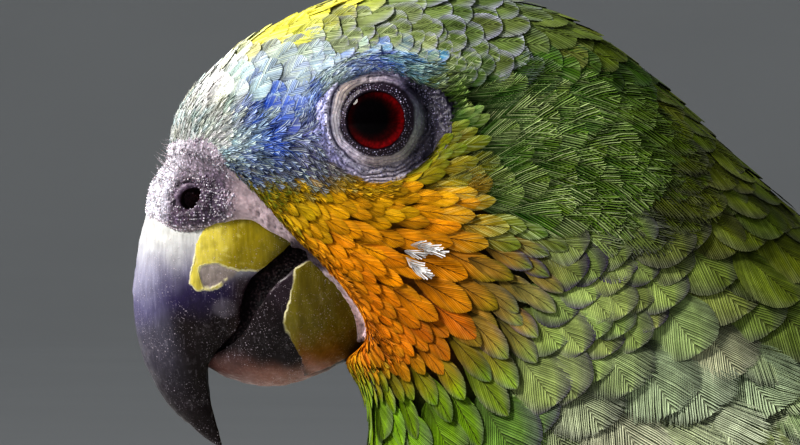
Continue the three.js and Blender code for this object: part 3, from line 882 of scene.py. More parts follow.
GREEN = tint(74, 102, 18)
DEEP_GREEN = tint(44, 74, 16)
EAR_GREEN = tint(58, 110, 14)
BREAST_GREEN = tint(112, 148, 34)
BELLY_GREEN = tint(136, 164, 50)
SAGE = tint(132, 145, 94)
LILAC = tint(174, 172, 200)
CREAM = tint(246, 248, 244)
BLUE = tint(34, 92, 210)
PALE_BLUE = tint(162, 196, 234)
SKY = tint(92, 160, 190)
CROWN_YELLOW = tint(240, 228, 88)
FACE_YELLOW = tint(184, 156, 4)
ORANGE = tint(218, 141, 2)
DEEP_ORANGE = tint(196, 118, 4)
TIP_GREEN = tint(112, 132, 30)
SLATE = tint(74, 62, 94)


def blob(points, y, z, along, up, soft=0.3):
    """1 inside an oval seen from the side, 0 outside."""
    reach = np.hypot((points[..., 1] - y) / along, (points[..., 2] - z) / up)
    return step(reach, 1 + soft, 1 - soft)


def markings(points):
    """Colours of the plumage: root, tip, rim, how strong the rim is, and how strong the barb lines."""
    run, _, turn = along_body(points)
    y, z = points[:, 1], points[:, 2]
    aside = np.abs(points[:, 0])
    back = step(turn, 1.5, 0.6)
    belly = step(turn, 1.9, 2.7)
    body = step(run, 60, 100)
    root = mixed(GREEN, DEEP_GREEN, 0.3 * back * step(run, 40, 80))
    root = mixed(root, tint(108, 110, 30), 0.6 * back * step(run, 90, 60))
    root = root * (1 + 0.3 * body * back)[:, None]
    root = mixed(root, BREAST_GREEN, belly * step(run, 55, 90))
    root = mixed(root, BELLY_GREEN, belly * step(run, 110, 180))
    root = mixed(root, tint(166, 182, 60), belly * step(run, 200, 250))
    sage = step(z, 3.5, 6.5) * step(y, 30, 16) * step(y, -14, -6)
    root = mixed(root, SAGE, sage)
    root = mixed(root, tint(88, 110, 52), 0.75 * step(y, 2, 11) * sage)
    side = step(turn, 0.6, 1.1) * step(turn, 2.9, 2.4)
    middle = blob(points, 36, -27, 22, 14, 0.5) * side
    root = mixed(root, tint(156, 170, 106), 0.85 * middle)
    cape = blob(points, 50, -43, 27, 14, 0.35) * side * step(y, 68, 51) * step(z, -54, -42)
    root = mixed(root, tint(194, 206, 176), 0.9 * cape)
    throat = step(z, -27, -33) * step(y, 24, 12) * step(run, 70, 40)
    root = mixed(root, tint(108, 138, 8), throat)
    ear = blob(points, 21, -4, 15, 10.5, 0.25)
    root = mixed(root, EAR_GREEN, ear)
    root = root * (1 - 0.26 * blob(points, 23, -9, 17, 13))[:, None]
    root = mixed(root, tint(38, 78, 16), 0.7 * blob(points, 24, 5, 14, 3.5))
    root = mixed(root, tint(38, 72, 14), 0.55 * blob(points, 27, -7, 9, 6))
    tip = mixed(root, tint(132, 158, 56), 0.55 * ear)
    # Paler front-top and lower-front patches of the ear coverts are painted highlight.
    ear_highlight = np.maximum(blob(points, 14, 2.5, 8, 4.5, 0.5), blob(points, 12, -10, 6, 5, 0.5))
    tip = mixed(tip, tint(190, 206, 138), 0.5 * ear_highlight * ear)
    orange = blob(points, 2.5, -18, 15, 15.5, 0.2) * step(z, -3, -6)
    front = step(y, -2, -9)
    low = step(z, -18, -29)
    cheek = mixed(ORANGE, FACE_YELLOW, front * step(z, -20, -12))
    cheek = mixed(cheek, tint(206, 158, 12), 0.8 * step(z, -19, -10))
    cheek = mixed(cheek, FACE_YELLOW, 0.85 * step(z, -10.5, -8) * step(y, 12, 4))
    cheek = mixed(cheek, DEEP_ORANGE, low) * 0.96
    # The rear lower cheek is painted darker brown-orange as painted shade.
    cheek = mixed(cheek, tint(150, 88, 6), 0.7 * step(y, 5, 12) * step(z, -14, -20))
    gold = step(z, -5.5, -8) * step(y, 2, -5) * step(z, -24, -18)
    root = mixed(root, FACE_YELLOW, gold)
    greener = step(y, 9, 17) + step(z, -30, -36)
    wider = blob(points, 5, -21, 18, 15, 0.2) * step(z, -12, -19)
    root = mixed(root, mixed(cheek, tint(104, 66, 26), 0.6), 0.7 * wider * (1 - orange))
    root = mixed(root, cheek, orange * step(greener, 1.4, 0.4))
    tip = mixed(tip, mixed(cheek, TIP_GREEN, np.clip(0.85 * greener, 0, 0.9)), orange)
    blue = blob(points, -15, -1.5, 13, 11, 0.25) * step(z, -9.3, -7.5)
    brow = blob(points, -3, 7.6, 10.5, 2.6, 0.35) * step(z, 3, 5)
    pale = np.clip(step(wavy(points, 4, 3), 0.1, 1.1) + 0.45 * step(y, -15, -22), 0, 1)
    shade = mixed(BLUE, PALE_BLUE, pale)
    shade = mixed(shade, tint(178, 194, 120), 0.8 * step(wavy(points, 3.2, 9), 0.3, 1.0) * step(z, -2, 3))
    shade = mixed(shade, tint(186, 202, 196), 0.75 * step(z, 2.5, 6.5) * step(y, 2, -6))
    shade = mixed(shade, tint(38, 54, 92), 0.8 * step(z, -3, -6.5) * step(y, -24, -17))
    shade = mixed(shade, tint(72, 64, 84), 0.8 * step(z, -2, -6) * step(y, -12, -7))
    shade = mixed(shade, tint(104, 100, 148), 0.7 * step(ring_distance(points), 3.4, 0.8) * step(z, 4, 0))
    root = mixed(root, shade, np.maximum(blue, brow))
    tip = mixed(tip, mixed(shade, tint(186, 200, 236), 0.26), np.maximum(blue, brow))
    sky = blob(points, 5, 6.5, 3.5, 2.2) + blob(points, -20, -2, 5, 4)
    root, tip = [mixed(tone, SKY, 0.6 * np.clip(sky, 0, 1)) for tone in (root, tip)]
    forehead = step(y, -13, -21) * step(z, -7.5, -2)
    forehead = np.maximum(forehead, step(aside, 12, 4) * step(y, -8, -16) * step(z, -4, 2))
    cream = mixed(CREAM, tint(176, 212, 226), 0.6 * step(wavy(points, 3, 14), 0.1, 0.9))
    cream = mixed(cream, tint(226, 226, 160), 0.5 * step(wavy(points, 3.4, 15), 0.3, 1.0) * step(z, 1, 6))
    root = mixed(root, cream, 0.92 * forehead)
    tip = mixed(tip, cream, 0.94 * forehead)
    yellow = step(aside, 11, 7) * step(y, 3, -4) * step(y, -20, -14) * step(z, 7.5, 10)
    root, tip = [mixed(tone, CROWN_YELLOW, yellow) for tone in (root, tip)]
    crown = step(z, 3, 6) * step(y, 26, 16)
    rim = mixed(SLATE, LILAC, crown)
    rim = mixed(rim, tip, np.clip(np.maximum(orange, np.maximum(blue, yellow)), 0, 1))
    rim_share = 0.95 * step(run, 24, 40) * step(run, 170, 110) * (1 - 0.5 * throat)
    rim_share = np.maximum(rim_share, 0.25 * body)
    rim_share = rim_share * (1 - 0.45 * step(turn, 1.1, 0.6)) * (1 - 0.6 * belly * step(run, 50, 80))
    rim_share = np.maximum(rim_share * (1 - crown), 0.75 * crown * (1 - yellow))
    olive = orange * step(greener, 0.6, 0)
    rim_share = rim_share * (1 - ear) * (1 - olive)
    rim = mixed(rim, tip * 0.3, orange)
    rim = mixed(rim, tint(90, 96, 14), olive)
    rim_share = np.maximum(rim_share, 0.42 * orange)
    rim_share = rim_share * (1 - 0.6 * cape)
    lines = 0.5 + 0.4 * cape
    lines = lines * (1 - 0.75 * orange) * (1 - 0.5 * np.maximum(blue, forehead))
    behind = blob(points, 9.5, -3.5, 6.5, 5, 0.4) * step(z, 1.5, -1)
    root = mixed(root, tint(146, 134, 10), 0.75 * behind)
    tip = mixed(tip, tint(120, 134, 22), 0.75 * behind)
    return root, tip, rim, rim_share, lines


def streak_share(points):
    """How strongly some barbs are paler than the rest."""
    y, z = points.T[1:]
    front = step(y, 4, -8) * step(z, -10, -6)
    brow = blob(points, 0, 7.5, 14, 4)
    ear = blob(points, 22, -5.5, 12.5, 11)
    return np.clip(0.1 + 0.85 * np.maximum(front, brow) + 0.9 * ear, 0, 0.95)


def behind_eye(points):
    """The corner below and behind the eye, where longer feathers lap over its ring."""
    y, z = points.T[1:]
    return step(y, 0, 4) * step(z, 1.5, -1.5) * step(ring_distance(points), 6, 2)


def feather_length(points):
    """Full length of a feather rooted at a place, part of it under others."""
    x, y, z = points.T
    run, _, turn = along_body(points)
    bill = line_distance(points[:, 1:], FEATHER_EDGE)
    bill = np.where(y > -30, bill, 0) + 0.4 * np.abs(x) * step(z, 0, 4)
    plain_face = np.interp(bill, [0, 3, 8, 13, 20, 30, 45, 70], [1.9, 2.3, 3.1, 4.8, 7.0, 8.2, 9.0, 12.4])
    yellow_face = np.interp(bill, [0, 2, 4, 8, 14, 24, 40, 70], [2.8, 4.4, 6.6, 9.4, 10.8, 11.4, 11.6, 13])
    size = mixed(plain_face, yellow_face, step(z, -8, -12))
    eye = np.interp(ring_distance(points), [0, 2, 5, 10, 16], [2.0, 2.8, 5.0, 9, 30])
    size = np.minimum(size, eye + 2.6 * behind_eye(points))
    size = mixed(size, 7.0, blob(points, 21, -18, 13, 9) * step(turn, 0.6, 1.0))
    size = size + 3.5 * step(run, 100, 170) + 3.5 * blob(points, 44, -38, 24, 9) * step(turn, 2.9, 2.4)
    thigh = step(z, -98, -112) * step(y, 135, 112) * step(y, 60, 70)
    return mixed(size, 9.0 + 3 * step(z, -128, -136), thigh)


def on_flesh():
    """Tells whether a place on the coat is over the wings or the tail."""
    names = [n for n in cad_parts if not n.startswith(("claw", "eye_"))]
    points, threes, owners = solids(names)
    tree = BVHTree.FromPolygons(points.tolist(), threes.tolist())
    covered = np.array([n.startswith(("wing", "tail")) for n in names])[owners]
    return lambda places: covered[[tree.find_nearest(p)[2] for p in places.tolist()]]


on_wing = on_flesh()


def feathered(places):
    """Tells whether body feathers are rooted at places on the coat."""
    x, y, z = places.T
    bare = outline_distance(places[:, 1:], BARE_FACE) < np.where(z > -8, -0.6, 0.1)
    bare &= (np.abs(x) < np.interp(z, skin_edge[:11, 2], skin_edge[:11, 0] + 0.2)) | (z > -6.8)
    ring_edge = 0.1 - step(z, 2, 6) - 0.5 * step(y, 4, -4) - 1.6 * behind_eye(places)
    rear = (y > 207) & (z < -100)
    return ~(bare | (ring_distance(places) < ring_edge) | (z < -141) | rear | on_wing(places))


# Skin under the plumage


def make_skin():
    """One closed skin for head, neck, trunk, thighs and the arms of the wings."""
    points, quads = fused(FLESH, 1.5, 10)
    normals = point_normals(points, quads)
    run, _, _ = along_body(points)
    depth = np.interp(run, [0, 20, 45, 80], [0.9, 1.1, 2.0, 2.8])
    depth = mixed(depth, 1.2, step(points[:, 2], -115, -135) * step(points[:, 1], 60, 70))
    depth = mixed(depth, 1.0, step(ring_distance(points), 3, 0))
    mesh_points = points - normals * depth[:, None]
    mesh = mesh_of("skin", mesh_points, quads)
    root, tip, _, _, _ = markings(points)
    # The skin takes the plumage's colours at half strength, and darker still under the ear coverts, as painted
    # shade seen in the gaps between feathers.
    paint(mesh, "Tone", mixed(root, tip, 0.5) * (0.5 - 0.3 * blob(mesh_points, 20, -8, 16, 14))[:, None])
    finished(object_of("skin", mesh), SKIN, "body_plumage", *FLESH)


make_skin()

# Body plumage


def looks_for(rng, spots, lengths, halves, rise, cup, height, lines):
    """Colours and set of each feather from where it shows."""
    count = len(spots)
    shown = spots + rng.normal(0, 0.7, spots.shape)
    root, tip, rim, rim_share, barbs = markings(shown)
    bright = np.exp(rng.normal(0, 0.08, (count, 1)))
    warm = 1 + rng.normal(0, 0.035, (count, 3))
    return looks_of(
        count,
        root=root * bright * warm,
        tip=tip * bright * warm,
        rim=rim * bright,
        rim_share=rim_share * rng.uniform(0.6, 1.1, count),
        lines=np.clip(barbs * lines * rng.uniform(0.7, 1.2, count), 0, 1),
        pale=mixed(tip * bright, tint(232, 240, 196), 0.46),
        streaks=streak_share(shown),
        half=halves,
        height=height + rng.normal(0, 0.06, count) * np.minimum(lengths, 8) / 4,
        rise=rise * lengths,
        cup=cup / np.maximum(halves, 0.5),
        roll=rng.normal(0, 0.05, count),
        curl=rng.normal(-0.35, 0.16, count) * lengths / 10,
        turn=rng.uniform(0.7, 0.9, count),
        scale=lengths / 10,
    )


def body_unwrap(roots):
    """Where each root lies on the skin, slit along the belly and rolled flat."""
    run, _, turn = along_body(roots)
    around = np.sign(roots[:, 0]) * turn / math.pi
    low, high = run.min(), max(run.max(), run.min() + 1)
    return np.column_stack([0.01 + 0.98 * (run - low) / (high - low), 0.5 + 0.49 * around])


def coat_piece(
    roots, cuts, widths, rise, cup, seed,
    follow=0.5, turned=6, lengths=None, colours=None, height=0.12, lines=0
):
    """Plumage rooted at the given places; its colours are the markings there unless others are given."""
    rng = np.random.default_rng(seed)
    spots, normals = coat.near(roots)
    lengths = feather_length(spots) if lengths is None else lengths
    lengths = lengths * rng.uniform(0.92, 1.1, len(spots))
    ways = lie(spots, normals)
    sway = np.radians(rng.normal(0, turned, len(spots)))
    ways = ways * np.cos(sway)[:, None] + np.cross(normals, ways) * np.sin(sway)[:, None]
    track, ups, asides = centrelines(coat, spots, ways, lengths, follow)
    shown = track[:, -2]
    halves = lengths * widths / 2 * rng.uniform(0.92, 1.1, len(spots))
    looks = looks_for(rng, shown, lengths, halves, rise, cup, height, lines)
    if colours:
        bright = np.exp(rng.normal(0, 0.09, (len(spots), 1)))
        for key, colour in zip(("root", "tip", "rim"), colours):
            looks[key] = colour * bright
        looks["rim_share"] = np.full(len(spots), 0.35)
    picks = rng.integers(0, len(cuts), len(spots))
    return laid(cuts, picks, track, ups, asides, looks, body_unwrap(spots))


def over_ear(points):
    """The patch of loose feathers behind the eye."""
    near = blob(points, 20, -3.5, 14.5, 9.5, 0.02) > 0.5
    return near & (np.abs(points[:, 0]) > 8) & (ring_distance(points) > 1.2)


def over_cheek(points):
    return (blob(points, 1.5, -18, 17.5, 17, 0.02) > 0.5) & (points[:, 2] < -5)


def spacing(points):
    """How far apart roots stand: less where feathers are small, and less in the narrow ones of the cheek."""
    plain = np.interp(feather_length(points), [2, 4, 8, 12, 18], [0.68, 1.4, 3.2, 5.2, 7.6])
    return plain * np.where(over_cheek(points), 0.92, 1.0)


def combs_of(count, width, barbs, tip, seed, **more):
    """A few patterns of one sort of loose feather, cut for a length of 10 mm."""
    return [combed_cut(10 * width, barbs, tip, seed + k, **more) for k in range(count)]


def make_coat():
    """All plumage but the wings and tail."""
    roots = scattered(coat, lambda p: feathered(p) & ~over_ear(p), spacing, 11)
    ears = scattered(coat, lambda p: feathered(p) & over_ear(p), lambda p: np.full(len(p), 2.1), 12)
    lengths = feather_length(roots)
    run, _, turn = along_body(roots)
    z = roots[:, 2]
    tiny = lengths < 3.1
    cheek = (over_cheek(roots) | (behind_eye(roots) > 0.3)) & ~tiny
    crown = (run < 40) & (z > -6) & ~tiny & ~cheek
    cape = (blob(roots, 42, -36, 25, 13) > 0.5) & (turn > 0.8) & (turn < 2.7) & ~tiny & ~cheek
    neck = (run < 95) & ~tiny & ~cheek & ~crown & ~cape
    body = ~(tiny | cheek | crown | neck | cape)
    breast = body & (turn > 1.5)
    back = body & ~breast
    wisps = combs_of(6, 0.3, 5, 1.0, 100, wide=0.7, fill=0.6, fray=0.06, lift=0.35, angles=(24, 9))
    tidy = {"fray": 0.003, "lift": 0.01}
    hairy = combs_of(
        6, 0.5, 8, 0.9, 150, wide=0.7, fill=0.64, fray=0.03, lift=0.12, dark=-5.2,
        angles=(26, 10), steps=(0, 0.6, 1)
    )
    pointed = combs_of(
        6, 0.46, 24, 1.4, 200, wide=0.58, fill=1.0, dark=-2.2, angles=(38, 18), blunt=0.7, shaft=-3.4, **tidy
    )
    rounded = combs_of(
        6, 0.8, 21, 0.72, 300, fill=0.94, fray=0.004, lift=0.02, dark=-3.6, angles=(52, 30), blunt=0.8
    )
    scallop = combs_of(
        8, 0.92, 38, 0.7, 400, wide=0.6, fill=0.92, dark=-3.8, angles=(50, 29), blunt=0.85, **tidy
    )
    broad = combs_of(
        8, 0.92, 54, 0.74, 450, wide=0.62, fill=0.76, fray=0.012, lift=0.03, dark=-5.6,
        angles=(46, 25), blunt=0.5
    )
    loose = combs_of(8, 0.6, 30, 1.0, 500, fill=0.6, fray=0.01, lift=0.07, dark=-5.6, angles=(36, 18))
    far = combs_of(6, 0.84, 12, 0.85, 600, fill=1.0, fray=0.006, lift=0.03, dark=-1.4, blunt=0.7)
    beside = {side: roots[:, 0] * sign > 0 for side, sign in SIDES.items()}
    pieces = [
        *((f"face_plumes_{side}", tiny & beside[side], hairy, 0.56, 0.1, 0.1, 21) for side in SIDES),
        ("cheek_feathers", cheek, pointed, 0.38, 0.08, 0.14, 22),
        ("crown_feathers", crown, rounded, 0.8, 0.1, 0.12, 23),
        ("ear_coverts", None, loose, 0.6, 0.1, 0.1, 24),
        *((f"neck_feathers_{side}", neck & beside[side], scallop, 0.9, 0.1, 0.11, 25) for side in SIDES),
        ("cape_feathers", cape, broad, 0.95, 0.1, 0.1, 28),
        ("breast_feathers", breast, far, 0.8, 0.1, 0.1, 26),
        ("back_feathers", back, far, 0.85, 0.1, 0.1, 27),
    ]
    ear_lengths = np.interp(ears[:, 1], [9, 14, 22], [5.5, 10, 12])
    special = {"face_": {"follow": 0.7, "turned": 4}, "ear_c": {"turned": 5, "lengths": ear_lengths}}
    for name, chosen, cuts, width, rise, cup, seed in pieces:
        slot = "neck" if name[:4] in ("neck", "cape") else "body" if name[:4] in ("brea", "back") else "head"
        here = ears if chosen is None else roots[chosen]
        batches = coat_piece(here, cuts, width, rise, cup, seed, **special.get(name[:5], {}))
        feather_piece(name, f"{slot}_plumage", batches)
    spots = [(4.2, -16.6), (4.4, -17.4), (4.9, -18.1), (5.3, -18.5), (5.0, -15.9), (6.0, -16.2), (6.8, -16.8)]
    down = coat.near(np.array([[20 * sign, y, z] for sign in (1, -1) for y, z in spots]))[0]
    white = [tint(236, 234, 236)] * 3
    tuft = coat_piece(down, wisps, 0.42, 0.0, 0.1, 29, 0.5, 34, np.full(len(down), 3.3), white, 0.8)
    feather_piece("down_tuft", "head_plumage", tuft)


make_coat()


# Small repeated things


def strewn_tree(name, sizes, shape_of, unevenness):
    """Puts a small shape, made by shape_of from the sizes, on each point of a mesh."""
    tree = bpy.data.node_groups.new(name, "GeometryNodeTree")
    kinds = {"Geometry": "Geometry", **dict.fromkeys(sizes, "Float"), "Seed": "Int", "Finish": "Material"}
    for key, kind in kinds.items():
        tree.interface.new_socket(key, in_out="INPUT", socket_type=f"NodeSocket{kind}")
    tree.interface.new_socket("Geometry", in_out="OUTPUT", socket_type="NodeSocketGeometry")
    take = tree.nodes.new("NodeGroupInput").outputs
    shape, turned = shape_of(tree, take)
    uneven = node(tree, "FunctionNodeRandomValue", data_type="FLOAT", named={"Seed": take["Seed"]})
    uneven.inputs[2].default_value, uneven.inputs[3].default_value = unevenness
    each = {"Points": take["Geometry"], "Instance": shape, "Rotation": turned, "Scale": uneven.outputs[1]}
    placing = node(tree, "GeometryNodeInstanceOnPoints", named=each)
    real = node(tree, "GeometryNodeRealizeInstances", placing.outputs[0])
    covered = node(
        tree, "GeometryNodeSetMaterial", named={"Geometry": real.outputs[0], "Material": take["Finish"]}
    )
    node(tree, "NodeGroupOutput", covered.outputs[0])
    return tree


def stud_shape(tree, take):
    """A round grain."""
    grain = node(tree, "GeometryNodeMeshIcoSphere", take["Size"], 1)
    return node(tree, "GeometryNodeSetShadeSmooth", grain.outputs["Mesh"]).outputs[0], None


def bristle_shape(tree, take):
    """A fine tapering bristle along the Way kept at its point."""
    cut = {"Vertices": 5, "Side Segments": 2, "Radius Bottom": take["Thickness"], "Depth": take["Length"]}
    hair = node(tree, "GeometryNodeMeshCone", named=cut)
    way = node(tree, "GeometryNodeInputNamedAttribute", "Way", data_type="FLOAT_VECTOR")
    turned = node(tree, "FunctionNodeAlignRotationToVector", named={"Vector": way.outputs[0]})
    return hair.outputs["Mesh"], turned.outputs[0]


def grown(name, tree, places, finish, ways=None, **sizes):
    """Runs a tree on loose points and keeps the result as a plain mesh."""
    mesh = bpy.data.meshes.new(name)
    mesh.from_pydata((np.asarray(places) * MM + BETWEEN_EYES).tolist(), [], [])
    if ways is not None:
        mark(mesh, "Way", ways)
    made = object_of(name, mesh)
    modifier = made.modifiers.new("Grow", "NODES")
    modifier.node_group = tree
    named = {i.name: i.identifier for i in tree.interface.items_tree if i.in_out == "INPUT"}
    for key, value in {**sizes, "Finish": finish}.items():
        modifier[named[key]] = value
    mesh = plain(made)
    mesh.name = name
    return object_of(name, mesh)


STUDS = strewn_tree("Studs", ["Size"], stud_shape, (0.55, 1.25))
BRISTLES = strewn_tree("Bristles", ["Length", "Thickness"], bristle_shape, (0.5, 1.3))


def grid(rows, columns):
    """Quads between closed rings of points, ring after ring."""
    start = np.arange(rows - 1)[:, None] * columns
    here = np.arange(columns)
    onward = (here + 1) % columns
    corners = (start + here, start + columns + here, start + columns + onward, start + onward)
    return np.stack(corners, -1).reshape(-1, 4)


def capped(points, poles=None):
    """Rings of points with a pole at each end, and the faces of the closed shape."""
    rows, columns = points.shape[:2]
    count = rows * columns
    here = np.arange(columns)
    onward = np.roll(here, -1)
    first = np.column_stack([np.full(columns, count), here, onward])
    last = count - columns
    end = np.column_stack([np.full(columns, count + 1), last + onward, last + here])
    poles = [points[0].mean(0), points[-1].mean(0)] if poles is None else poles
    return np.vstack([points.reshape(-1, 3), poles]), [grid(rows, columns), first, end]


# Eyes

EYE_RADIUS = 6.6
IRIS_RADIUS = 3.75
PUPIL_RADIUS = 2.7
LID_OPENING = 3.7


def make_eye(side):
    """A ball with a slight swell over the iris, a red iris with painted light on its lower rear side, and a
    black pupil.
    """
    sign = SIDES[side]
    turns = np.linspace(0, 2 * math.pi, 96, endpoint=False)
    tilts = np.r_[np.linspace(0.02, 0.75, 60), np.linspace(0.8, math.pi - 0.05, 20)]
    tilt, turn = np.meshgrid(tilts, turns, indexing="ij")
    reach = EYE_RADIUS * np.sin(tilt)
    swell = EYE_RADIUS + 0.22 * step(np.where(tilt < 1.5, reach, 9), 5, 2)
    points = np.stack(
        [sign * (EYE_SPREAD + swell * np.cos(tilt)), reach * np.cos(turn), reach * np.sin(turn)], -1
    )
    flat = points.reshape(-1, 3)
    offset = np.hypot(flat[:, 1] + 0.55, flat[:, 2] - 0.3)
    out = np.hypot(flat[:, 1] - 0.1, flat[:, 2])
    red = mixed(tint(78, 5, 10), tint(144, 14, 24), step(out, 2.5, 3.3))
    # Painted light: the iris is lit on its lower rear side, where light through the cornea falls, and dark on
    # its upper front.
    painted_light = 0.06 + 0.86 * step(flat[:, 1] * 0.85 - flat[:, 2] * 0.5, -2.8, 3.0)
    fibres = 1 + 0.22 * np.sin(46 * np.arctan2(flat[:, 2], flat[:, 1]) + 3 * wavy(flat, 1.5, 5))
    red = red * (painted_light * fibres)[:, None]
    tone = mixed(red, tint(20, 4, 8), step(out, IRIS_RADIUS - 0.35, IRIS_RADIUS + 0.15))
    tone = mixed(tone, tint(8, 5, 8), step(offset, PUPIL_RADIUS + 0.7, PUPIL_RADIUS - 0.9))
    poles = [[sign * (EYE_SPREAD + EYE_RADIUS + 0.22), 0, 0], [sign * (EYE_SPREAD - EYE_RADIUS), 0, 0]]
    every, faces = capped(points, poles)
    mesh = mesh_of(f"eye_{side}", every, *[f[:, ::sign] for f in faces])
    paint(mesh, "Tone", np.vstack([tone, [tint(8, 5, 8), tint(8, 5, 8)]]))
    return finished(object_of(f"eyeball_{side}", mesh), EYE, "eye", f"eye_{side}")


def round_eye(values, turns):
    """Values given at eight turns round the eye, from behind it up over the top, blended between them."""
    spots = np.linspace(0, 2 * math.pi, 9)
    rows = np.array([*values, values[0]], float)
    if rows.ndim == 1:
        return np.interp(turns, spots, rows)
    return np.stack([np.interp(turns, spots, rows[:, k]) for k in range(3)], -1)


MARGIN_REACH = (5.05, 5.15, 4.95, 4.7, 4.5, 4.5, 4.65, 4.9)
FOLD_WIDTH = (0.5, 0.22, 0.46, 0.7, 0.56, 0.5, 0.55, 0.55)
FOLD_HEIGHT = (0.14, 0.04, 0.18, 0.26, 0.26, 0.2, 0.12, 0.12)
SECOND_HEIGHT = (0, 0, 0.05, 0.18, 0.24, 0.16, 0.06, 0)
# Tones at eight turns round the eye, partly the skin's own colours and partly painted light: lightest on the
# front, where the light falls, darkest at the upper rear.
FOLD_TONES = [
    tint(138, 144, 146), tint(84, 76, 104), tint(186, 176, 188), tint(216, 200, 192), tint(240, 232, 240),
    tint(204, 196, 214), tint(168, 156, 156), tint(146, 146, 144),
]
# Partly the skin's own colours and partly painted light: lightest on the front and dark behind the eye.
OUTER_TONES = [
    tint(44, 38, 62), tint(40, 36, 60), tint(118, 114, 152), tint(158, 162, 212), tint(150, 154, 208),
    tint(140, 136, 176), tint(168, 158, 164), tint(106, 98, 116),
]


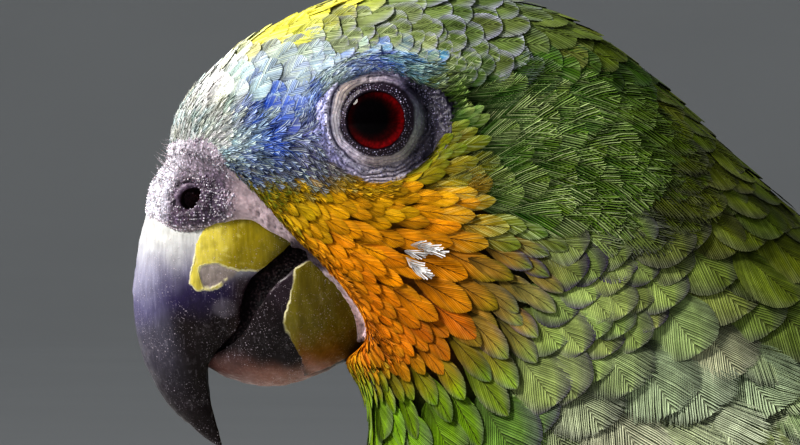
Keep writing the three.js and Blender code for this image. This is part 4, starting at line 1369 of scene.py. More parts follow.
def make_lids(side):
    """The bare ring round an eye: a beaded dark margin, pale folds and crinkled skin outside them."""
    sign = SIDES[side]
    turns = np.linspace(0, 2 * math.pi, 300, endpoint=False)
    share = np.r_[-0.1, -0.06, -0.03, np.linspace(-0.01, 1.25, 84)]
    inner = LID_OPENING * np.column_stack([np.cos(turns), np.sin(turns)])
    outer = RING_CENTRE + RING_REACH * np.column_stack([np.cos(turns), np.sin(turns)])
    flat = inner[None] + (outer - inner)[None] * share[:, None, None]
    reach = np.linalg.norm(flat, axis=-1)
    ball = EYE_SPREAD + np.sqrt(np.clip(EYE_RADIUS**2 - reach**2, 0.1, None))
    starts = np.column_stack([np.full(flat[..., 0].size, sign * 60.0), flat.reshape(-1, 2)])
    hits = coat.hit(starts, np.tile([-sign, 0, 0], (len(starts), 1)))[:, 0] * sign
    hits = hits.reshape(reach.shape)
    for row in range(len(share) - 2, -1, -1):
        hits[row] = np.where(hits[row] < EYE_SPREAD, hits[row + 1], hits[row])
    s = share[:, None]
    inside = LID_OPENING - reach
    brink = EYE_SPREAD + np.sqrt(EYE_RADIUS**2 - np.minimum(reach, 4.5) ** 2)
    margin = brink + 0.4 * step(-inside, -0.1, 0.25) - 0.3 * step(inside, 0.0, 0.5)
    face = hits - 0.2 - 0.8 * step(s, 1.0, 1.22)
    height = mixed(margin, face, step(reach, 4.3, 7.6))
    height = np.maximum(height, np.where(reach < 6.6, ball + 0.4 * step(-inside, -0.1, 0.25), height))
    place = np.stack([height, flat[..., 0], flat[..., 1]], -1)
    around = np.arctan2(flat[..., 1], flat[..., 0]) % (2 * math.pi)
    by_turn = {"edge": MARGIN_REACH, "wide": FOLD_WIDTH, "high": FOLD_HEIGHT, "second": SECOND_HEIGHT}
    by_turn = {key: round_eye(values, around) for key, values in by_turn.items()}
    drift = 0.14 * wavy(place, 5, 31) + 0.06 * wavy(place, 2.0, 36)
    away = reach + drift - by_turn["edge"]
    fold = lambda middle, wide: np.exp(-(((away - middle) / wide) ** 2))
    first = fold(by_turn["wide"] + 0.12, by_turn["wide"])
    second = fold(2 * by_turn["wide"] + 0.66, 0.3)
    crease = fold(2 * by_turn["wide"] + 0.3, 0.12) * np.clip(by_turn["second"] * 5, 0.25, 1)
    folds = by_turn["high"] * first + by_turn["second"] * second - 0.26 * crease
    creases = np.abs(np.sin(math.pi * away / 0.7 + 1.5 * wavy(place, 2.6, 32)))
    pits = np.abs(wavy(place, 1.3, 32)) + 0.5 * np.abs(wavy(place, 0.7, 33))
    crinkle = mixed(pits, creases, round_eye((0.5, 0, 0.3, 0.3, 0.3, 0.6, 1, 0.9), around))
    beyond = step(away, 2 * by_turn["wide"] - 0.3, 2 * by_turn["wide"] + 0.8)
    folds = folds + (0.22 * np.clip(crinkle, 0, 1) - 0.11) * beyond + 0.035 * wavy(place, 0.8, 34)
    place[..., 0] = sign * (height + folds)
    dark = np.tile(tint(38, 22, 42), (*reach.shape, 1))
    tone = mixed(dark, round_eye(FOLD_TONES, around), step(away, -0.05, 0.3))
    tone = mixed(tone, round_eye(OUTER_TONES, around), beyond)
    whiter = np.clip(second, 0, 1) * np.clip(by_turn["second"] * 5, 0, 1)
    tone = mixed(tone, tint(212, 208, 226), 0.8 * whiter)
    # Painted shade in the crease between the folds and in the pits of the crinkled skin.
    tone = mixed(tone, tint(56, 44, 72), 0.9 * np.clip(crease, 0, 1) * step(away, 0.1, 0.3))
    tone = mixed(tone, tint(52, 44, 74), 0.8 * step(crinkle, 0.36, 0.08) * beyond * (1 - 0.6 * whiter))
    thread = np.abs(np.sin(math.pi * away / 0.42 + 1.2 * wavy(place, 2.2, 38)))
    near_thread = step(thread, 0.5, 0.1) * (1 - beyond) * step(away, 0.15, 0.35)
    tone = mixed(tone, tint(104, 88, 118), 0.75 * near_thread)
    # Painted highlight on the raised crinkles, weaker behind the eye, and painted shade over the skin behind
    # the eye.
    rear = step(np.cos(around), 0.4, 0.9)
    tone = mixed(tone, tint(206, 202, 222), 0.45 * step(crinkle, 0.6, 1.1) * beyond * (1 - 0.7 * rear))
    tone = tone * (1 - 0.35 * rear * beyond)[..., None]
    quads = grid(len(share), len(turns))[:, ::-sign]
    mesh = mesh_of(f"lids_{side}", place.reshape(-1, 3), quads)
    paint(mesh, "Tone", tone.reshape(-1, 3))
    mark(mesh, "Smooth", (0.8 - 0.3 * beyond).ravel())
    finished(object_of(f"lid_skin_{side}", mesh), BARE_SKIN, "lids", f"eyelids_{side}")
    rng = np.random.default_rng(41)
    beads = []
    for ring, gap in ((0.3, 4), (0.62, 4), (0.95, 3)):
        row = np.abs(away + by_turn["edge"] - LID_OPENING - ring).argmin(0)
        picked = np.arange(int(10 * ring) % 3, len(turns), gap)
        beads.append(place[row[picked], picked] + rng.normal(0, 0.06, (len(picked), 3)))
    beads = np.vstack(beads)
    outside = place[(away > 1.3) & (s < 1.02)]
    warts = outside[rng.integers(0, len(outside), 760)]
    spots = np.vstack([beads, warts])
    lit = rng.uniform(0.45, 1.15, (len(spots), 1))
    shades = np.tile(tint(184, 176, 204), (len(spots), 1))
    shades[len(beads) :] = tint(146, 142, 172)
    made = grown(f"lid_beads_{side}", STUDS, spots, BARE_SKIN, Size=0.0001, Seed=4)
    share_of = len(made.data.vertices) // len(spots)
    paint(made.data, "Tone", np.repeat(np.clip(shades * lit, 0, 1), share_of, axis=0))
    finished(made, BARE_SKIN, "lids")


for eye_side in SIDES:
    make_eye(eye_side)
    make_lids(eye_side)

# Cere, gape and the bare strip behind the lower bill

bill_solid = Surface(*fused(["bill_upper", "bill_lower"], 0.6, 2))
face_solid = Surface(*fused(["head", "cere", "bill_upper", "bill_lower"], 0.8, 5))

SKIN_BY_HORN = [
    (0, -2.05, -29.9), (4.6, -1.9, -29.6), (8.2, -1.9, -27.4), (9.6, -3.0, -23.8), (10.1, -4.4, -20.8),
    (10.3, -5.8, -19), (10.3, -7.9, -18.2), (10.5, -10, -17.4), (10.9, -11.2, -15.4), (11.6, -13.4, -13.3),
    (11.7, -17, -11.8), (11.3, -20.6, -12.1), (10.3, -23.4, -13.1), (8.3, -26.5, -12.6), (5, -28.6, -11.4),
    (0, -29.3, -10.6),
]
NOSTRIL = np.array([7.6, -24.1, -9.7])


def from_nostril(points):
    """Distance from the nearer nostril."""
    beside = np.concatenate([np.abs(points[..., :1]), points[..., 1:]], -1)
    return np.linalg.norm(beside - NOSTRIL, axis=-1)


def make_nostrils(surface):
    """A round rim and a bowl set in each side of the cere, its red-brown lining painted dark as the shade
    inside the hole.
    """
    profile = [(2.9, 0.1), (2.6, 0.4), (2.3, 0.54), (2.06, 0.54), (1.84, 0.36), (1.7, -0.1), (1.5, -0.8)]
    profile = smooth_path([*profile, (1.2, -1.4), (0.6, -1.7), (0.02, -1.75)], 26)
    turns = np.linspace(0, 2 * math.pi, 64, endpoint=False)
    for side, sign in SIDES.items():
        middle = surface.near(NOSTRIL * np.array([sign, 1, 1]))[0]
        out = unit(np.array([sign, -0.26, 0.05]))
        along = unit(np.cross([0, 0, 1], out))
        up = np.cross(out, along)
        ring = along * np.cos(turns)[:, None] + 0.86 * up * np.sin(turns)[:, None]
        place = middle + ring[None] * profile[:, None, :1] + out * (profile[:, None, 1:] + 0.05)
        place = place + out * (0.05 * wavy(place, 1.1, 51))[..., None]
        # Below the rim the bowl is red-brown, painted darker than its lining as the shade inside the hole.
        tone = mixed(tint(100, 84, 104), tint(30, 8, 10), step(profile[:, 1], 0.45, 0.0)[:, None, None])
        tone = np.broadcast_to(tone, place.shape) * (1 + 0.15 * wavy(place, 0.7, 58))[..., None]
        quads = grid(len(profile), 64)
        flat = place.reshape(-1, 3)
        facing = np.cross(flat[quads[:, 2]] - flat[quads[:, 0]], flat[quads[:, 3]] - flat[quads[:, 1]]).sum(0)
        if facing @ out < 0:
            quads = quads[:, ::-1]
        mesh = mesh_of(f"nostril_{side}", flat, quads)
        paint(mesh, "Tone", np.clip(tone, 0, 1).reshape(-1, 3))
        mark(mesh, "Smooth", np.full(len(flat), 0.5))
        finished(object_of(f"nostril_{side}", mesh), BARE_SKIN, "cere")


def make_cere():
    """The swollen cere with its nostrils, and the bare skin down past the gape to the chin."""
    by_horn = bill_solid.near(np.array(SKIN_BY_HORN, float))[0]
    by_horn[[0, -1], 0] = 0
    half = 190
    near = smooth_path(by_horn, half)
    far = smooth_path(skin_edge, half)
    flip = np.array([-1, 1, 1])
    near = np.vstack([near, near[-2:0:-1] * flip])
    far = np.vstack([far, far[-2:0:-1] * flip])
    share = np.r_[-0.1, -0.05, np.linspace(0, 1.15, 34)]
    t = share[:, None]
    place = near[None] + (far - near)[None] * share[:, None, None]
    spots, normals = face_solid.near(place)
    bridge = step(place[..., 2:], -26.5, -28.5)
    spots = mixed(spots, place, bridge)
    upper = step(near[:, 1], -11, -20)[None]
    swell = np.sin(np.clip(t, 0, 1) * math.pi) * (0.1 + 0.5 * upper) * (1.15 - 0.5 * t)
    lip = 0.3 * step(t, -0.02, 0.05) - 0.45 * step(t, -0.02, -0.1)
    under = -0.7 * step(t, 0.98, 1.15)
    height = swell + lip + under
    hole = from_nostril(spots)
    height = height - 2.6 * np.exp(-((hole / 1.7) ** 6)) + 0.5 * np.exp(-(((hole - 2.6) / 0.9) ** 2))
    grainy = 0.1 * wavy(spots, 1.1, 51) + 0.07 * wavy(spots, 0.6, 52)
    height = height + grainy * step(t, 0, 0.15)
    crease = np.abs(wavy(spots, 1.8, 53))
    height = height - 0.16 * step(crease, 0.25, 0) * (1 - upper)
    points = spots + normals * height[..., None]
    grainy_part = upper * step(points[..., 1], -17, -20.5)
    grey = np.tile(tint(82, 66, 88), (*height.shape, 1))
    # Lighter towards the front, where the light falls: painted light.
    grey = mixed(grey, tint(222, 220, 232), 0.8 * step(points[..., 1] - 0.3 * points[..., 2], -22.4, -25.6))
    tone = mixed(grey, tint(180, 162, 168), 0.85 * (1 - grainy_part))
    low = step(points[..., 2], -21, -25) * (1 - upper)
    tone = mixed(tone, tint(210, 182, 186), 0.85 * low)
    # Painted shade in the creases of the strip.
    tone = mixed(tone, tint(72, 58, 74), 0.7 * step(crease, 0.3, 0)[..., None] * (1 - upper[..., None]))
    tone = mixed(tone, tint(70, 52, 70), 0.6 * step(hole, 4.0, 2.0)[..., None])
    tone = mixed(tone, tint(58, 16, 12), step(hole, 1.9, 1.5)[..., None])
    tone = mixed(tone, tint(206, 196, 206), 0.4 * step(points[..., 2], -8.5, -4) * upper)
    tone = mixed(tone, tint(200, 186, 190), 0.6 * step(t, 0.1, 0.0) * np.ones_like(height))
    gape = step(np.hypot((points[..., 1] + 8) / 3.6, (points[..., 2] + 17) / 2.4), 1.3, 0.8)
    tone = mixed(tone, tint(46, 32, 46), 0.9 * gape[..., None])
    mesh = mesh_of("cere_skin", points.reshape(-1, 3), grid(len(share), len(near)))
    mark(mesh, "Smooth", 1 - grainy_part.ravel())
    paint(mesh, "Tone", tone.reshape(-1, 3))
    finished(object_of("cere_skin", mesh), BARE_SKIN, "cere", "cere")
    rng = np.random.default_rng(55)
    rows = rng.integers(3, 35, 9000)
    columns = rng.integers(0, len(near), 9000)
    chosen = (grainy_part[rows, columns] > rng.uniform(0.1, 1, 9000)) & (hole[rows, columns] > 1.9)
    rows, columns = rows[chosen], columns[chosen]
    spots = points[rows, columns] - 0.03 * normals[rows, columns]
    made = grown("cere_grains", STUDS, spots, BARE_SKIN, Size=0.00015, Seed=5)
    share_of = len(made.data.vertices) // len(spots)
    # Grains lighter towards the front as painted light, with random brightness.
    lit = rng.uniform(0, 1, (len(spots), 1)) * 0.7 + 0.4 * step(spots[:, 1:2] - 0.3 * spots[:, 2:], -22, -26)
    shades = mixed(tint(104, 90, 112), tint(250, 244, 252), np.clip(lit, 0, 1))
    paint(made.data, "Tone", np.repeat(shades, share_of, axis=0))
    finished(made, BARE_SKIN, "cere")
    make_nostrils(face_solid)
    rows = rng.integers(14, 35, 420)
    columns = rng.integers(0, len(near), 420)
    chosen = upper[0][columns] * step(points[rows, columns, 1], -22, -27) > rng.uniform(0.1, 1, 420)
    spots, ups = points[rows[chosen], columns[chosen]], normals[rows[chosen], columns[chosen]]
    ways = unit(ups + rng.normal(0, 0.3, ups.shape) + np.array([0, 0, 0.35]))
    made = grown("cere_bristles", BRISTLES, spots, BARE_SKIN, ways, Length=0.0016, Thickness=0.00006, Seed=6)
    paint(made.data, "Tone", np.tile(tint(190, 184, 190), (len(made.data.vertices), 1)))
    finished(made, BARE_SKIN, "cere")


make_cere()

# Bill

UPPER_BILL = [
    ((-21, 0), (-4, -13.4), 12), ((-26.9, -5.4), (-9.7, -15), 11), ((-29.6, -10.6), (-12.2, -16.8), 10.3),
    ((-31, -16), (-14.5, -18.8), 9.3), ((-31.7, -21.2), (-16.5, -20.8), 8.3),
    ((-31.5, -26.1), (-17.5, -24), 7.2), ((-30.6, -30.2), (-17.8, -27), 6.2),
    ((-29.1, -33.8), (-20, -29.2), 5), ((-26.9, -37), (-21.9, -31.8), 3.8),
    ((-24.1, -39.8), (-21.8, -35.6), 2.5), ((-21.6, -41.6), (-20.9, -39.6), 1.3),
    ((-20.2, -42.5), (-20.3, -42), 0.5),
]
LOWER_BILL = [
    ((4, -26), (-5, -14.6), 10.6), ((-0.4, -28.8), (-8.5, -17.4), 10.2),
    ((-3.8, -31.2), (-11.2, -19.6), 9.9), ((-7.6, -33), (-13.4, -21.6), 9.3),
    ((-11.8, -34.2), (-15.4, -24.3), 8.5), ((-15.8, -34.3), (-17.1, -27.2), 7.2),
    ((-19.4, -33.4), (-19.4, -29.2), 5.4), ((-22.2, -31.9), (-22, -30.6), 3.2),
]
UPPER_PATCH = [
    (-21.5, -12.6), (-18.9, -11.6), (-16.2, -11.5), (-13.6, -12.8), (-11.2, -15), (-9, -14), (-9, -17),
    (-13.1, -18.4), (-15.2, -19.2), (-16.7, -19.2), (-18.4, -19.2), (-20.2, -21.4), (-21.5, -22),
    (-23.3, -21.9), (-24.3, -21), (-23.5, -17.8), (-23.3, -15.8),
]
UPPER_PEEL = [
    (-22.9, -18.7), (-20.7, -18.4), (-18.7, -19), (-18, -19.3), (-18.4, -19.9), (-20, -21), (-21.4, -21.6),
    (-22.4, -21.4), (-22.8, -20.3),
]
LOWER_PATCH = [
    (-10.4, -19), (-9, -18.2), (-6, -17), (2, -20), (4, -30), (-3, -36), (-9, -36), (-9.6, -31),
    (-10.8, -28.6), (-11.9, -26.4), (-11.8, -25), (-11.3, -23.8), (-10.8, -21.5),
]


def horn_shape(rows, stations, around):
    """Closed lofted horn through the rows of ridge, edge and half width."""
    knots = np.array([[*ridge, *edge, half] for ridge, edge, half in rows], float)
    run = smooth_path(knots, stations)
    ridge, edge, half = run[:, None, 0:2], run[:, None, 2:4], run[:, None, 4]
    rise = np.sin(np.linspace(0, math.pi / 2, around)) ** 0.9
    floor = np.linspace(-1, 1, around // 2 + 2)[1:-1]
    height = np.r_[rise, rise[-2::-1], 0.0 * floor]
    sides = np.r_[np.ones(around), -np.ones(around - 1), np.ones(len(floor))]
    width = np.r_[
        np.sqrt(np.clip(1 - rise**2.3, 0, 1)), np.sqrt(np.clip(1 - rise[-2::-1] ** 2.3, 0, 1)), floor
    ]
    sunk = np.r_[np.zeros(2 * around - 1), 0.1 * (1 - floor**2)]
    flat = edge + (ridge - edge) * (height + sunk)[None, :, None]
    return np.concatenate([(half * (sides * width)[None])[..., None], flat], -1)


def enclosed(points, quads):
    """Volume inside a mesh, negative when its faces point inwards."""
    one, two, three, four = [points[quads[:, k]] for k in range(4)]
    return ((np.cross(one, two) * three).sum() + (np.cross(one, three) * four).sum()) / 6


def make_horn(solid, rows, patch, peel, tones, flaking):
    """One half of the bill with the marks of its layers, which flake between two heights."""
    name = f"{solid}_horn"
    every, faces = capped(horn_shape(rows, 190, 56))
    if enclosed(every, faces[0]) < 0:
        faces = [f[:, ::-1] for f in faces]
    normals = point_normals(every, faces[0])
    hole = from_nostril(every)
    every = every - normals * (3.4 * np.exp(-((hole / 3.4) ** 4)))[:, None]
    edge = outline_distance(every[:, 1:], patch)
    if peel:
        edge = np.maximum(edge, -outline_distance(every[:, 1:], peel))
    side = step(np.abs(every[:, 0]), 1.5, 4)
    edge = np.where(side > 0.5, edge, 3.0)
    uneven = 0.1 * wavy(every, 7, 61) + 0.05 * wavy(every, 2.5, 62) + 0.025 * wavy(every, 1.0, 63)
    layer = 0.12 * step(edge, 0.15, -0.15)
    every = every + normals * (uneven + layer)[:, None] * step(np.abs(normals[:, 0]) + 1, 0.9, 1.0)[:, None]
    mesh = mesh_of(name, every, *faces)
    tone, patch_tone = tones(every)
    paint(mesh, "Tone", tone)
    paint(mesh, "Patch", patch_tone)
    flaky = 0.35 + 0.65 * step(wavy(every, 4, 64), -0.6, 0.4)
    mark(mesh, "Marks", np.column_stack([edge, edge, flaky * step(every[:, 2], *flaking)]))
    return finished(object_of(name, mesh), HORN, "bill", solid)


def upper_tones(points):
    y, z = points[:, 1], points[:, 2]
    drift = 0.8 * wavy(points, 5, 71)
    front = step(y + 0.25 * (z + 20), -26.5, -30)
    white = tint(184, 184, 182) * (1 + 0.1 * wavy(points, 2.2, 75))[:, None]
    # Painted shade: the pale horn darkens towards the rear, away from the light.
    white = white * (1 - 0.16 * step(y, -27, -22))[:, None]
    tone = mixed(white, tint(126, 124, 140), step(z + drift, -15, -20.5))
    tone = mixed(tone, tint(44, 34, 74), step(z + drift + 1.5 * front, -18.4, -22.4))
    tone = mixed(tone, tint(20, 7, 11), step(z + drift + 1.5 * front, -21, -27))
    # Painted highlight: a light lilac sheen along the front edge.
    tone = mixed(tone, tint(160, 160, 188), 0.2 * front * step(z, -40, -22))
    window = outline_distance(points[:, 1:], UPPER_PEEL)
    tone = mixed(tone, tint(146, 134, 126), 0.8 * step(window, 0.4, -0.2))
    chip = blob(points, -19.6, -24.2, 1.6, 1.2)
    tone = mixed(tone, tint(110, 104, 116), 0.6 * chip)
    inner = step(y, -20, -17.5) * step(z, -19, -21)
    tone = mixed(tone, tint(44, 28, 24), 0.8 * inner)
    # The olive-yellow patch is painted lighter at the front and darker towards the rear, as painted light and
    # shade.
    patch = mixed(tint(196, 182, 84), tint(140, 126, 12), step(y + drift, -22, -17.5))
    patch = mixed(patch, tint(62, 60, 8), 0.85 * step(y + 0.5 * drift, -15.5, -11))
    patch = mixed(patch, tint(98, 90, 8), 0.3 * step(wavy(points, 2.0, 73), 0.0, 0.9))
    patch = mixed(patch, tint(206, 196, 120), 0.5 * step(wavy(points, 1.2, 74), 0.7, 1.2) * step(y, -14, -20))
    patch = mixed(patch, tint(70, 62, 24), 0.6 * step(z + 0.03 * (y + 17) ** 2, -13.2, -12.4))
    return tone, patch


def lower_tones(points):
    y, z = points[:, 1], points[:, 2]
    drift = 0.8 * wavy(points, 4, 72)
    tone = mixed(tint(44, 32, 42), tint(22, 12, 16), step(z + drift, -21, -26))
    tone = mixed(tone, tint(124, 88, 78), step(z + 0.3 * drift + 0.1 * y, -31.8, -34.4))
    tone = mixed(tone, tint(84, 60, 60), 0.6 * step(y, -14, -19) * step(z, -29, -31))
    patch = mixed(tint(98, 88, 8), tint(112, 74, 8), step(z + drift, -26, -31))
    patch = mixed(patch, tint(134, 94, 82), step(z + 0.3 * drift + 0.1 * y, -30.6, -33.2))
    patch = mixed(patch, tint(134, 126, 40), 0.5 * step(y + 0.3 * drift, -9.6, -10.8))
    patch = mixed(patch, tint(50, 40, 30), step(y + 0.6 * z, -27.6, -29.4) * step(z, -25.5, -28))
    return tone, patch


make_horn("bill_upper", UPPER_BILL, UPPER_PATCH, UPPER_PEEL, upper_tones, (-15.5, -18))
make_horn("bill_lower", LOWER_BILL, LOWER_PATCH, None, lower_tones, (-29, -26))


def smoothed(name, nodes, voxel, rounds, finish, slot, swell=0.0, knobs=0.0):
    """A finer copy of a few solids, without their facets, swelled back to their size."""
    points, quads = fused(nodes, voxel, rounds)
    rise = swell + knobs * wavy(points, 3.2, 91) + 0.4 * knobs * wavy(points, 1.3, 92)
    points = points + point_normals(points, quads) * rise[:, None]
    points[:, 2] = np.maximum(points[:, 2], -BETWEEN_EYES[2] / MM)
    return finished(object_of(name, mesh_of(name, points, quads)), finish, slot, *nodes)


smoothed("tongue_skin", ["tongue"], 0.4, 4, MOUTH, "mouth")


def make_mouth():
    """The dark lining seen between the halves of the bill, folded at the gape."""
    rows = [
        ((-7.5, -13.6), (-3.6, -17.4), 9.3), ((-11.2, -14.4), (-6.6, -19.2), 8.6),
        ((-15, -16.6), (-9.6, -21.4), 7.8), ((-17.6, -20), (-11.9, -23.6), 6.9),
        ((-19, -23.4), (-14, -26.4), 5.6), ((-20, -26.6), (-16.4, -29.4), 4.4),
        ((-21.6, -28.6), (-18.8, -31.2), 3), ((-22.4, -30), (-21, -31.6), 2),
    ]
    every, faces = capped(horn_shape(rows, 60, 20))
    finished(object_of("mouth_lining", mesh_of("mouth_lining", every, *faces)), MOUTH, "mouth")


make_mouth()


# Wings

TRUNK_ROWS = [
    ((54.4, -11.5), (1.2, -64), 31), ((68, -23), (7, -75), 34.6), ((84, -33), (19, -88.5), 37.2),
    ((102, -42), (39, -101), 38.2), ((122, -51.5), (63, -109.5), 37.8), ((142, -62), (89, -115), 35.4),
    ((160, -73), (116, -117), 30.4), ((176, -84), (146, -120.5), 24), ((190, -95.5), (171, -126), 18),
    ((203, -107.5), (194, -132), 15.4), ((216, -121.5), (213, -136.5), 14),
]
FIRST_ROW = 9
WING_TOP = [
    (9.7, 75), (10.1, 56), (10.8, 38), (11.6, 25), (12.5, 18), (13.8, 13), (15, 11), (17, 13), (18, 17),
    (18.7, 25), (19, 35),
]
WING_LOW = [
    (9.7, 87), (10.1, 102), (10.8, 112), (11.6, 116), (12.5, 115), (13.8, 109), (15, 100), (16, 92),
    (17, 82), (18, 70), (18.7, 57), (19, 46),
]
WING_THICK = [
    (9.7, 0.8), (10.1, 3.8), (10.8, 6), (11.6, 6.6), (12.5, 6.2), (13.8, 5.4), (15, 4.6), (16, 3.8),
    (17, 3), (18, 2.3), (18.7, 1.7), (19, 1),
]


def by_row(table, at):
    rows = np.array(table, float)
    return np.interp(at, rows[:, 0], rows[:, 1])


def wing_place(at, share, side):
    """A point of the folded wing's outer face: at counts body rows, share runs from its upper edge down."""
    knots = np.array([[*top, *low, half] for top, low, half in TRUNK_ROWS], float)
    spots = np.arange(len(knots)) + FIRST_ROW
    ridge, keel = [
        np.stack([np.interp(at, spots, knots[:, k]) for k in pair], -1) for pair in ((0, 1), (2, 3))
    ]
    half = np.interp(at, spots, knots[:, 4])
    turn = np.radians(by_row(WING_TOP, at) * (1 - share) + by_row(WING_LOW, at) * share)
    rise = 0.3 + by_row(WING_THICK, at) * (0.3 + 0.7 * np.sin(math.pi * np.clip(share, 0.02, 0.98)) ** 0.6)
    tall = np.linalg.norm(ridge - keel, axis=-1) / 2
    up = unit(ridge - keel)
    cosine = np.sign(np.cos(turn)) * np.abs(np.cos(turn)) ** 0.9
    place = (ridge + keel) / 2 + up * (cosine * (tall + rise))[..., None]
    return np.concatenate([(side * np.sin(turn) ** 0.9 * (half + rise))[..., None], place], -1)


def wing_track(starts, ends, side, stations=9):
    """Centrelines over the wing's face between places given as row and share."""
    t = np.linspace(0, 1, stations)[None, :]
    at = starts[:, :1] + (ends[:, :1] - starts[:, :1]) * t
    share = starts[:, 1:] + (ends[:, 1:] - starts[:, 1:]) * t
    track = wing_place(at, share, side)
    ways = unit(np.gradient(track, axis=1))
    across = wing_place(at, share + 0.02, side) - wing_place(at, share - 0.02, side)
    ups = unit(np.cross(ways, across) * side)
    ups = np.where((ups[..., :1] * side < 0) & (np.abs(ups[..., :1]) > 0.3), -ups, ups)
    return track, ups, np.cross(ups, ways)


def wing_looks(count, half, height, colours, rims, rng, rise, turn=0.75):
    """How a row of wing feathers is coloured and set."""
    bright = np.exp(rng.normal(0, 0.07, (count, 1)))
    root, tip = colours
    rim, rim_share = rims
    roll = rng.normal(0.02, 0.02, count)
    tones = {"root": root * bright, "tip": tip * bright, "rim": rim * bright, "pale": tip * bright}
    tones.update(rim_share=rim_share, lines=0.45, streaks=0, turn=turn)
    set_as = {"half": half, "height": height, "rise": rise, "cup": 0.1 / half, "roll": roll}
    return looks_of(count, curl=0, scale=1, **set_as, **tones)


WING_GREEN = tint(56, 104, 20)
WING_DARK = tint(32, 66, 24)
TEAL = tint(24, 74, 62)
NIGHT_BLUE = tint(22, 26, 66)
SPECULUM = tint(214, 74, 16)


def wing_row(side, rng, count, begin, end, half, height, colours, rims, cut, rise, lift, turn=0.75):
    """A row of feathers from begin to end, which give row and share for the first and the last feather."""
    t = np.linspace(0, 1, count)[:, None]
    first = np.array(begin[:2]) * (1 - t) + np.array(begin[2:]) * t
    last = np.array(end[:2]) * (1 - t) + np.array(end[2:]) * t
    first = first + rng.normal(0, 0.012, first.shape)
    last = last + rng.normal(0, 0.012, last.shape)
    track, ups, asides = wing_track(first, last, side)
    heights = height + lift * (1 - t[:, 0]) + rng.normal(0, 0.04, count)
    looks = wing_looks(count, half, heights, colours, rims, rng, rise, turn)
    looks["roll"] = looks["roll"] * -side
    unwrap = np.column_stack([0.02 + 0.96 * (first[:, 0] - 9.7) / 9.3, 0.05 + 0.9 * first[:, 1]])
    if side < 0:
        cut = {**cut, "v": -cut["v"], "quads": cut["quads"][:, ::-1]}
    return laid([cut], np.zeros(count, int), track, ups, asides, looks, np.clip(unwrap, 0.005, 0.995))


def make_wing(name, side):
    """Coverts over secondaries over primaries, folded."""
    rng = np.random.default_rng(71)
    close = {"fill": 1.0, "fray": 0.002, "lift": 0.008, "dark": -1.4, "blunt": 0.85, "shaft": -3.0}
    short = combed_cut(6.1, 34, 0.85, 701, angles=(42, 22), **close)
    mid = combed_cut(4.3, 46, 0.8, 702, angles=(40, 20), **close)
    long = combed_cut(2.5, 72, 0.9, 703, wide=0.8, angles=(38, 20), **close)
    blade = combed_cut(1.7, 84, 1.1, 704, wide=0.72, angles=(36, 20), **close)
    edge = tint(24, 46, 20)
    covert_rows = [
        (6, (13.1, 0.0, 13.0, 0.34), (15.7, 0.02, 15.4, 0.3), 8.5, 0.2, (74, 118, 30), 0.5, long, 0.6, 0.3),
        (10, (12.75, 0.21, 12.75, 0.9), (14.2, 0.23, 14.05, 0.86), 5.6, 0.55, (70, 116, 26), 0.5,
         mid, 1, 0.3),
        (13, (12.2, 0.12, 12.2, 0.93), (13.15, 0.13, 13.1, 0.9), 5, 0.75, (78, 124, 30), 0.45, short, 1, 0.2),
        (5, (12.3, 0.84, 12.3, 0.97), (14.0, 0.84, 13.9, 0.95), 4.6, 0.1, (32, 66, 24), 0.4, mid, 0.8, 0.3),
        (3, (11.1, 0.9, 11.1, 0.98), (12.5, 0.9, 12.4, 0.96), 4, 0.5, (84, 128, 34), 0.4, mid, 0.8, 0.3),
    ]
    coverts = []
    for count, begin, end, half, height, tip, rim_share, cut, rise, lift in covert_rows:
        look = (WING_GREEN, tint(*tip)), (edge, rim_share)
        coverts += wing_row(side, rng, count, begin, end, half, height, *look, cut, rise, lift)
    bare = lambda p: on_wing(p) & (wing_rows(p) < 12.75) & (p[:, 0] * side > 0)
    roots = scattered(coat, bare, lambda p: np.full(len(p), 4.6), 72)
    rounded = combs_of(
        6, 0.88, 24, 0.8, 710, fray=0.003, lift=0.01, fill=1.0, dark=-1.3, angles=(42, 20), blunt=0.8
    )
    near_cape = 0.7 * blob(roots, 48, -40, 15, 9)
    shades = [mixed(c, tint(158, 162, 122), near_cape) for c in (WING_GREEN, tint(80, 126, 28), edge)]
    lengths = np.interp(wing_rows(roots), [9.7, 12.5], [8, 12])
    coverts += coat_piece(roots, rounded, 0.88, 0.12, 0.12, 73, lengths=lengths, colours=shades, lines=1)
    feather_piece(f"wing_covert_feathers_{name}", "wing_plumage", coverts)
    night = tint(16, 18, 34)
    flight_rows = [
        (9, (14.9, 0.5, 14.6, 0.97), (19.0, 0.5, 16.6, 0.92), 6.2, -0.4, blade, 0.9, 0.75),
        (4, (13.4, 0.66, 13.3, 0.9), (16.4, 0.66, 15.9, 0.9), 7, -0.5, long, 0.4, 0.56),
        (6, (13.3, 0.25, 13.3, 0.62), (16.6, 0.2, 16.4, 0.62), 7.5, 0.2, long, 0.4, 0.75),
    ]
    flight_looks = [
        ((WING_DARK, NIGHT_BLUE), (night, 0.3)),
        ((SPECULUM, NIGHT_BLUE), (night, 0.25)),
        ((WING_GREEN, TEAL), (NIGHT_BLUE, 0.35)),
    ]
    flight = []
    for (count, begin, end, half, height, cut, lift, turn), look in zip(flight_rows, flight_looks):
        flight += wing_row(side, rng, count, begin, end, half, height, *look, cut, 0.8, lift, turn)
    nodes = [f"{part}_{name}" for part in WING_PARTS[1:]]
    feather_piece(f"flight_feathers_{name}", "flight_plumage", flight, *nodes)


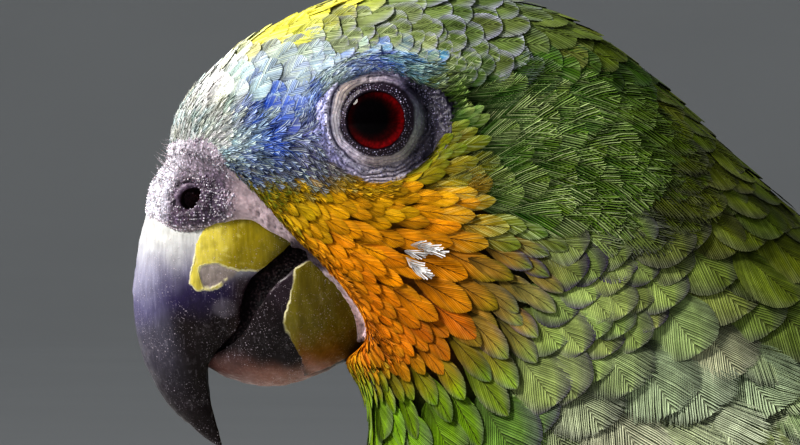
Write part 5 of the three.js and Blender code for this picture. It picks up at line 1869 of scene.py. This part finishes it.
def wing_rows(points):
    """How far along the body's rows points of the wing lie."""
    middles = np.array([[(t[0] + k[0]) / 2, (t[1] + k[1]) / 2] for t, k, _ in TRUNK_ROWS])
    ups = unit(np.array([[t[0] - k[0], t[1] - k[1]] for t, k, _ in TRUNK_ROWS], float))
    ahead = np.column_stack([-ups[:, 1], ups[:, 0]]) * -1
    past = np.einsum("nrk,rk->nr", points[:, None, 1:] - middles[None], ahead)
    rows = np.full(len(points), float(FIRST_ROW))
    for r in range(len(TRUNK_ROWS) - 1):
        share = past[:, r] / np.maximum(past[:, r] - past[:, r + 1], 1e-6)
        inside = (past[:, r] >= 0) & (past[:, r + 1] < 0)
        rows = np.where(inside, FIRST_ROW + r + share, rows)
    return np.where(past[:, -1] >= 0, 19.0, rows)


# Tail

TAIL_LINE = [
    (186, -114), (200, -124), (212, -131.5), (226, -140.5), (238, -148.5), (246, -153.8), (254, -159),
]
TAIL_HALF = [11, 13, 15.5, 18.5, 20.5, 19.5, 17.5]


def make_tail():
    """Twelve broad quills, the middle pair on top, over six seen from below."""
    rng = np.random.default_rng(81)
    close = {"fill": 1.0, "fray": 0.002, "lift": 0.006, "dark": -1.3, "blunt": 0.85, "shaft": -2.5}
    quill = combed_cut(2.2, 76, 0.72, 801, wide=0.86, angles=(38, 22), **close)
    batches = []
    line = smooth_path(TAIL_LINE, 60)
    run = np.linspace(0, 1, 60)
    ranks = np.arange(-5.5, 6)
    ranks = ranks[np.argsort(-np.abs(ranks))]
    share = ranks / 5.5
    count = len(ranks)
    for layer in (1, -1):
        t = np.linspace(0, 1, 9)[None] * (1 - 0.07 * np.abs(share[:, None]) ** 2)
        y = np.interp(t, run, line[:, 0])
        z = np.interp(t, run, line[:, 1])
        spread = np.interp(t, np.linspace(0, 1, len(TAIL_HALF)), TAIL_HALF)
        x = share[:, None] * np.clip(spread - 6.5, 3, None)
        drop = 0.12 * np.abs(x)
        track = np.stack([x, y, z - drop + layer * (0.9 - 0.1 * np.abs(ranks[:, None]))], -1)
        ways = unit(np.gradient(track, axis=1))
        ups = np.tile([0, 0.5, 0.85], (*t.shape, 1)) * layer
        ups = ups + np.array([0.12, 0, 0]) * np.sign(share)[:, None, None] * layer
        ups = unit(ups - (ups * ways).sum(-1, keepdims=True) * ways)
        outer = np.abs(share)[:, None]
        root = mixed(np.tile(tint(58, 108, 22), (count, 1)), tint(206, 70, 14), 0.6 * step(outer, 0.3, 0.9))
        tip = np.tile(tint(166, 184, 56), (count, 1))
        if layer < 0:
            root, tip = mixed(root, tint(150, 160, 70), 0.4), mixed(tip, tint(176, 184, 90), 0.5)
        looks = wing_looks(count, 7.0, 0.0, (root, tip), (tint(140, 160, 60), 0.3), rng, 0.3, 0.68)
        unwrap = np.column_stack([np.full(count, 0.5 + 0.25 * layer), 0.5 + 0.45 * share])
        batches += laid([quill], np.zeros(count, int), track, ups, np.cross(ups, ways), looks, unwrap)
    feather_piece("tail_feathers", "tail_plumage", batches, "tail")


def make_tail_coverts():
    """Rings of feathers that carry the rump and the vent tapering over the root of the tail."""
    rng = np.random.default_rng(83)
    close = {"fill": 1.0, "fray": 0.004, "lift": 0.015, "dark": -1.4, "blunt": 0.7}
    cuts = [combed_cut(4.4, 30, 0.9, 810 + k, angles=(36, 16), **close) for k in range(4)]
    line = smooth_path(TAIL_LINE, 60)
    batches = []
    rings = [
        (210, 242, 1.2), (206, 236, 2.2), (202, 230, 3.4), (198, 224, 4.8), (193, 217, 6.4), (188, 210, 8.4),
    ]
    for row, (begin, end, gap) in enumerate(rings):
        turns = np.linspace(0, 2 * math.pi, 19)[:-1] + 0.17 * (row % 2) + rng.normal(0, 0.03, 18)
        sine, cosine = np.sin(turns), np.cos(turns)
        middle = np.array([0, begin, np.interp(begin, MIDLINE[:, 0], MIDLINE[:, 1])])
        start = middle + 26 * np.column_stack([sine, 0.5 * cosine, cosine])
        root, normals = coat.near(start)
        root = root - 1.0 * normals
        reach = end - 2 * np.abs(sine) + rng.normal(0, 0.8, 18)
        across = np.interp(reach, [205, 226, 245], [12, 14.5, 14.5]) * sine
        tips = np.column_stack([across, reach, np.interp(reach, line[:, 0], line[:, 1]) + gap * cosine])
        t = np.linspace(0, 1, 9)[None, :, None]
        outward = unit(np.column_stack([sine, 0.45 * cosine, 0.8 * cosine]))
        track = root[:, None] + (tips - root)[:, None] * t
        track = track + outward[:, None] * np.sin(math.pi * t) * (1.2 + 0.15 * row)
        ways = unit(np.gradient(track, axis=1))
        ups = np.repeat(outward[:, None], 9, axis=1)
        ups = unit(ups - (ups * ways).sum(-1, keepdims=True) * ways)
        below = step(cosine, 0.2, -0.4)
        root_tone = mixed(np.tile(DEEP_GREEN, (18, 1)), BELLY_GREEN, below)
        tip_tone = mixed(np.tile(tint(80, 118, 24), (18, 1)), tint(160, 174, 46), below)
        looks = wing_looks(18, 4.8, 0.0, (root_tone, tip_tone), (tint(40, 60, 20), 0.3), rng, 0.2)
        unwrap = np.column_stack([0.06 + 0.16 * row + 0 * sine, 0.5 + 0.15 * turns - 0.47])
        picks = rng.integers(0, 4, 18)
        batches += laid(cuts, picks, track, ups, np.cross(ups, ways), looks, np.clip(unwrap, 0.01, 0.99))
    feather_piece("tail_covert_feathers", "tail_plumage", batches)


for wing_name, wing_side in SIDES.items():
    make_wing(wing_name, wing_side)
make_tail()
make_tail_coverts()

# Legs


def make_leg(side):
    toes = [f"toe_{toe}_{side}" for toe in TOES]
    foot = [f"shank_{side}", f"foot_{side}", *toes]
    smoothed(f"scaly_foot_{side}", foot, 0.42, 6, SCALES, "scaly_skin", 0.42, 0.16)
    for toe in TOES:
        smoothed(f"claw_horn_{toe}_{side}", [f"claw_{toe}_{side}"], 0.24, 5, CLAW, "claw", 0.34, 0.03)


for leg_side in SIDES:
    make_leg(leg_side)


# Studio

HEAD_SIDE = 18
CAMERA_REACH = 950
SEEN_WIDTH = 102.6
SEEN_MIDDLE = (3.1, -13.1)


def make_floor():
    """A round pale floor whose rim rises far away, so that no line shows behind the bird."""
    reach = np.r_[0.0001, np.linspace(0.4, 9, 12), 9 + 5 * np.sin(np.linspace(0.05, math.pi / 2, 24))]
    rise = np.r_[np.zeros(13), 5 * (1 - np.cos(np.linspace(0.05, math.pi / 2, 24)))]
    turns = np.linspace(0, 2 * math.pi, 96, endpoint=False)
    points = np.stack(
        [reach[:, None] * np.cos(turns), reach[:, None] * np.sin(turns), rise[:, None] * np.ones(96)], -1
    )
    flat = points.reshape(-1, 3)
    mesh = mesh_of("floor", (flat - BETWEEN_EYES) / MM, grid(len(reach), 96)[:, ::-1])
    made = object_of("floor", mesh)
    paper, tree = started("pale_floor", Roughness=0.8)
    shade = blended(spots_of(tree, 3, 2), tint(206, 206, 204), tint(213, 213, 211))
    mesh.materials.append(joined(paper, shade))
    mesh.flip_normals()


def add_light(name, place, aim, size, power, colour, mirrored=False):
    data = bpy.data.lights.new(name, "AREA")
    data.shape = "DISK"
    data.size = size
    data.energy = power
    data.color = colour
    made = object_of(name, data)
    made.location = Vector(BETWEEN_EYES) + Vector(place)
    way = Vector(BETWEEN_EYES) + Vector(aim) - made.location
    made.rotation_euler = way.to_track_quat("-Z", "Y").to_euler()
    made.visible_glossy = mirrored


def make_camera():
    data = bpy.data.cameras.new("camera")
    made = object_of("camera", data)
    data.sensor_width = 36
    data.lens = 36 * (CAMERA_REACH - HEAD_SIDE) / SEEN_WIDTH
    place = np.array([CAMERA_REACH, *SEEN_MIDDLE]) * MM + BETWEEN_EYES
    made.location = place
    made.rotation_euler = (math.pi / 2, 0, math.pi / 2)
    data.clip_start = 0.05
    data.clip_end = 60
    bpy.context.scene.camera = made


def make_studio():
    make_floor()
    make_camera()
    add_light("key", (0.36, -1.0, 0.9), (0, 0.01, 0), 0.35, 26, (1.0, 0.97, 0.92), True)
    add_light("front", (-0.35, -1.2, 0.1), (0, -0.02, -0.02), 0.5, 4, (0.9, 0.95, 1.0))
    add_light("fill", (1.3, 0.6, 0.3), (0, 0.03, -0.05), 1.2, 2, (0.92, 0.96, 1.0))
    add_light("rim", (-0.5, 0.7, 1.1), (0, 0.05, -0.02), 0.6, 6, (0.95, 0.98, 1.0))
    world = bpy.data.worlds.new("soft_room")
    bpy.context.scene.world = world
    world.use_nodes = True
    world.node_tree.nodes["Background"].inputs["Color"].default_value = (0.86, 0.9, 0.95, 1)
    world.node_tree.nodes["Background"].inputs["Strength"].default_value = 0.24
    view = bpy.context.scene.view_settings
    view.view_transform = "Standard"
    view.look = "High Contrast"


make_studio()
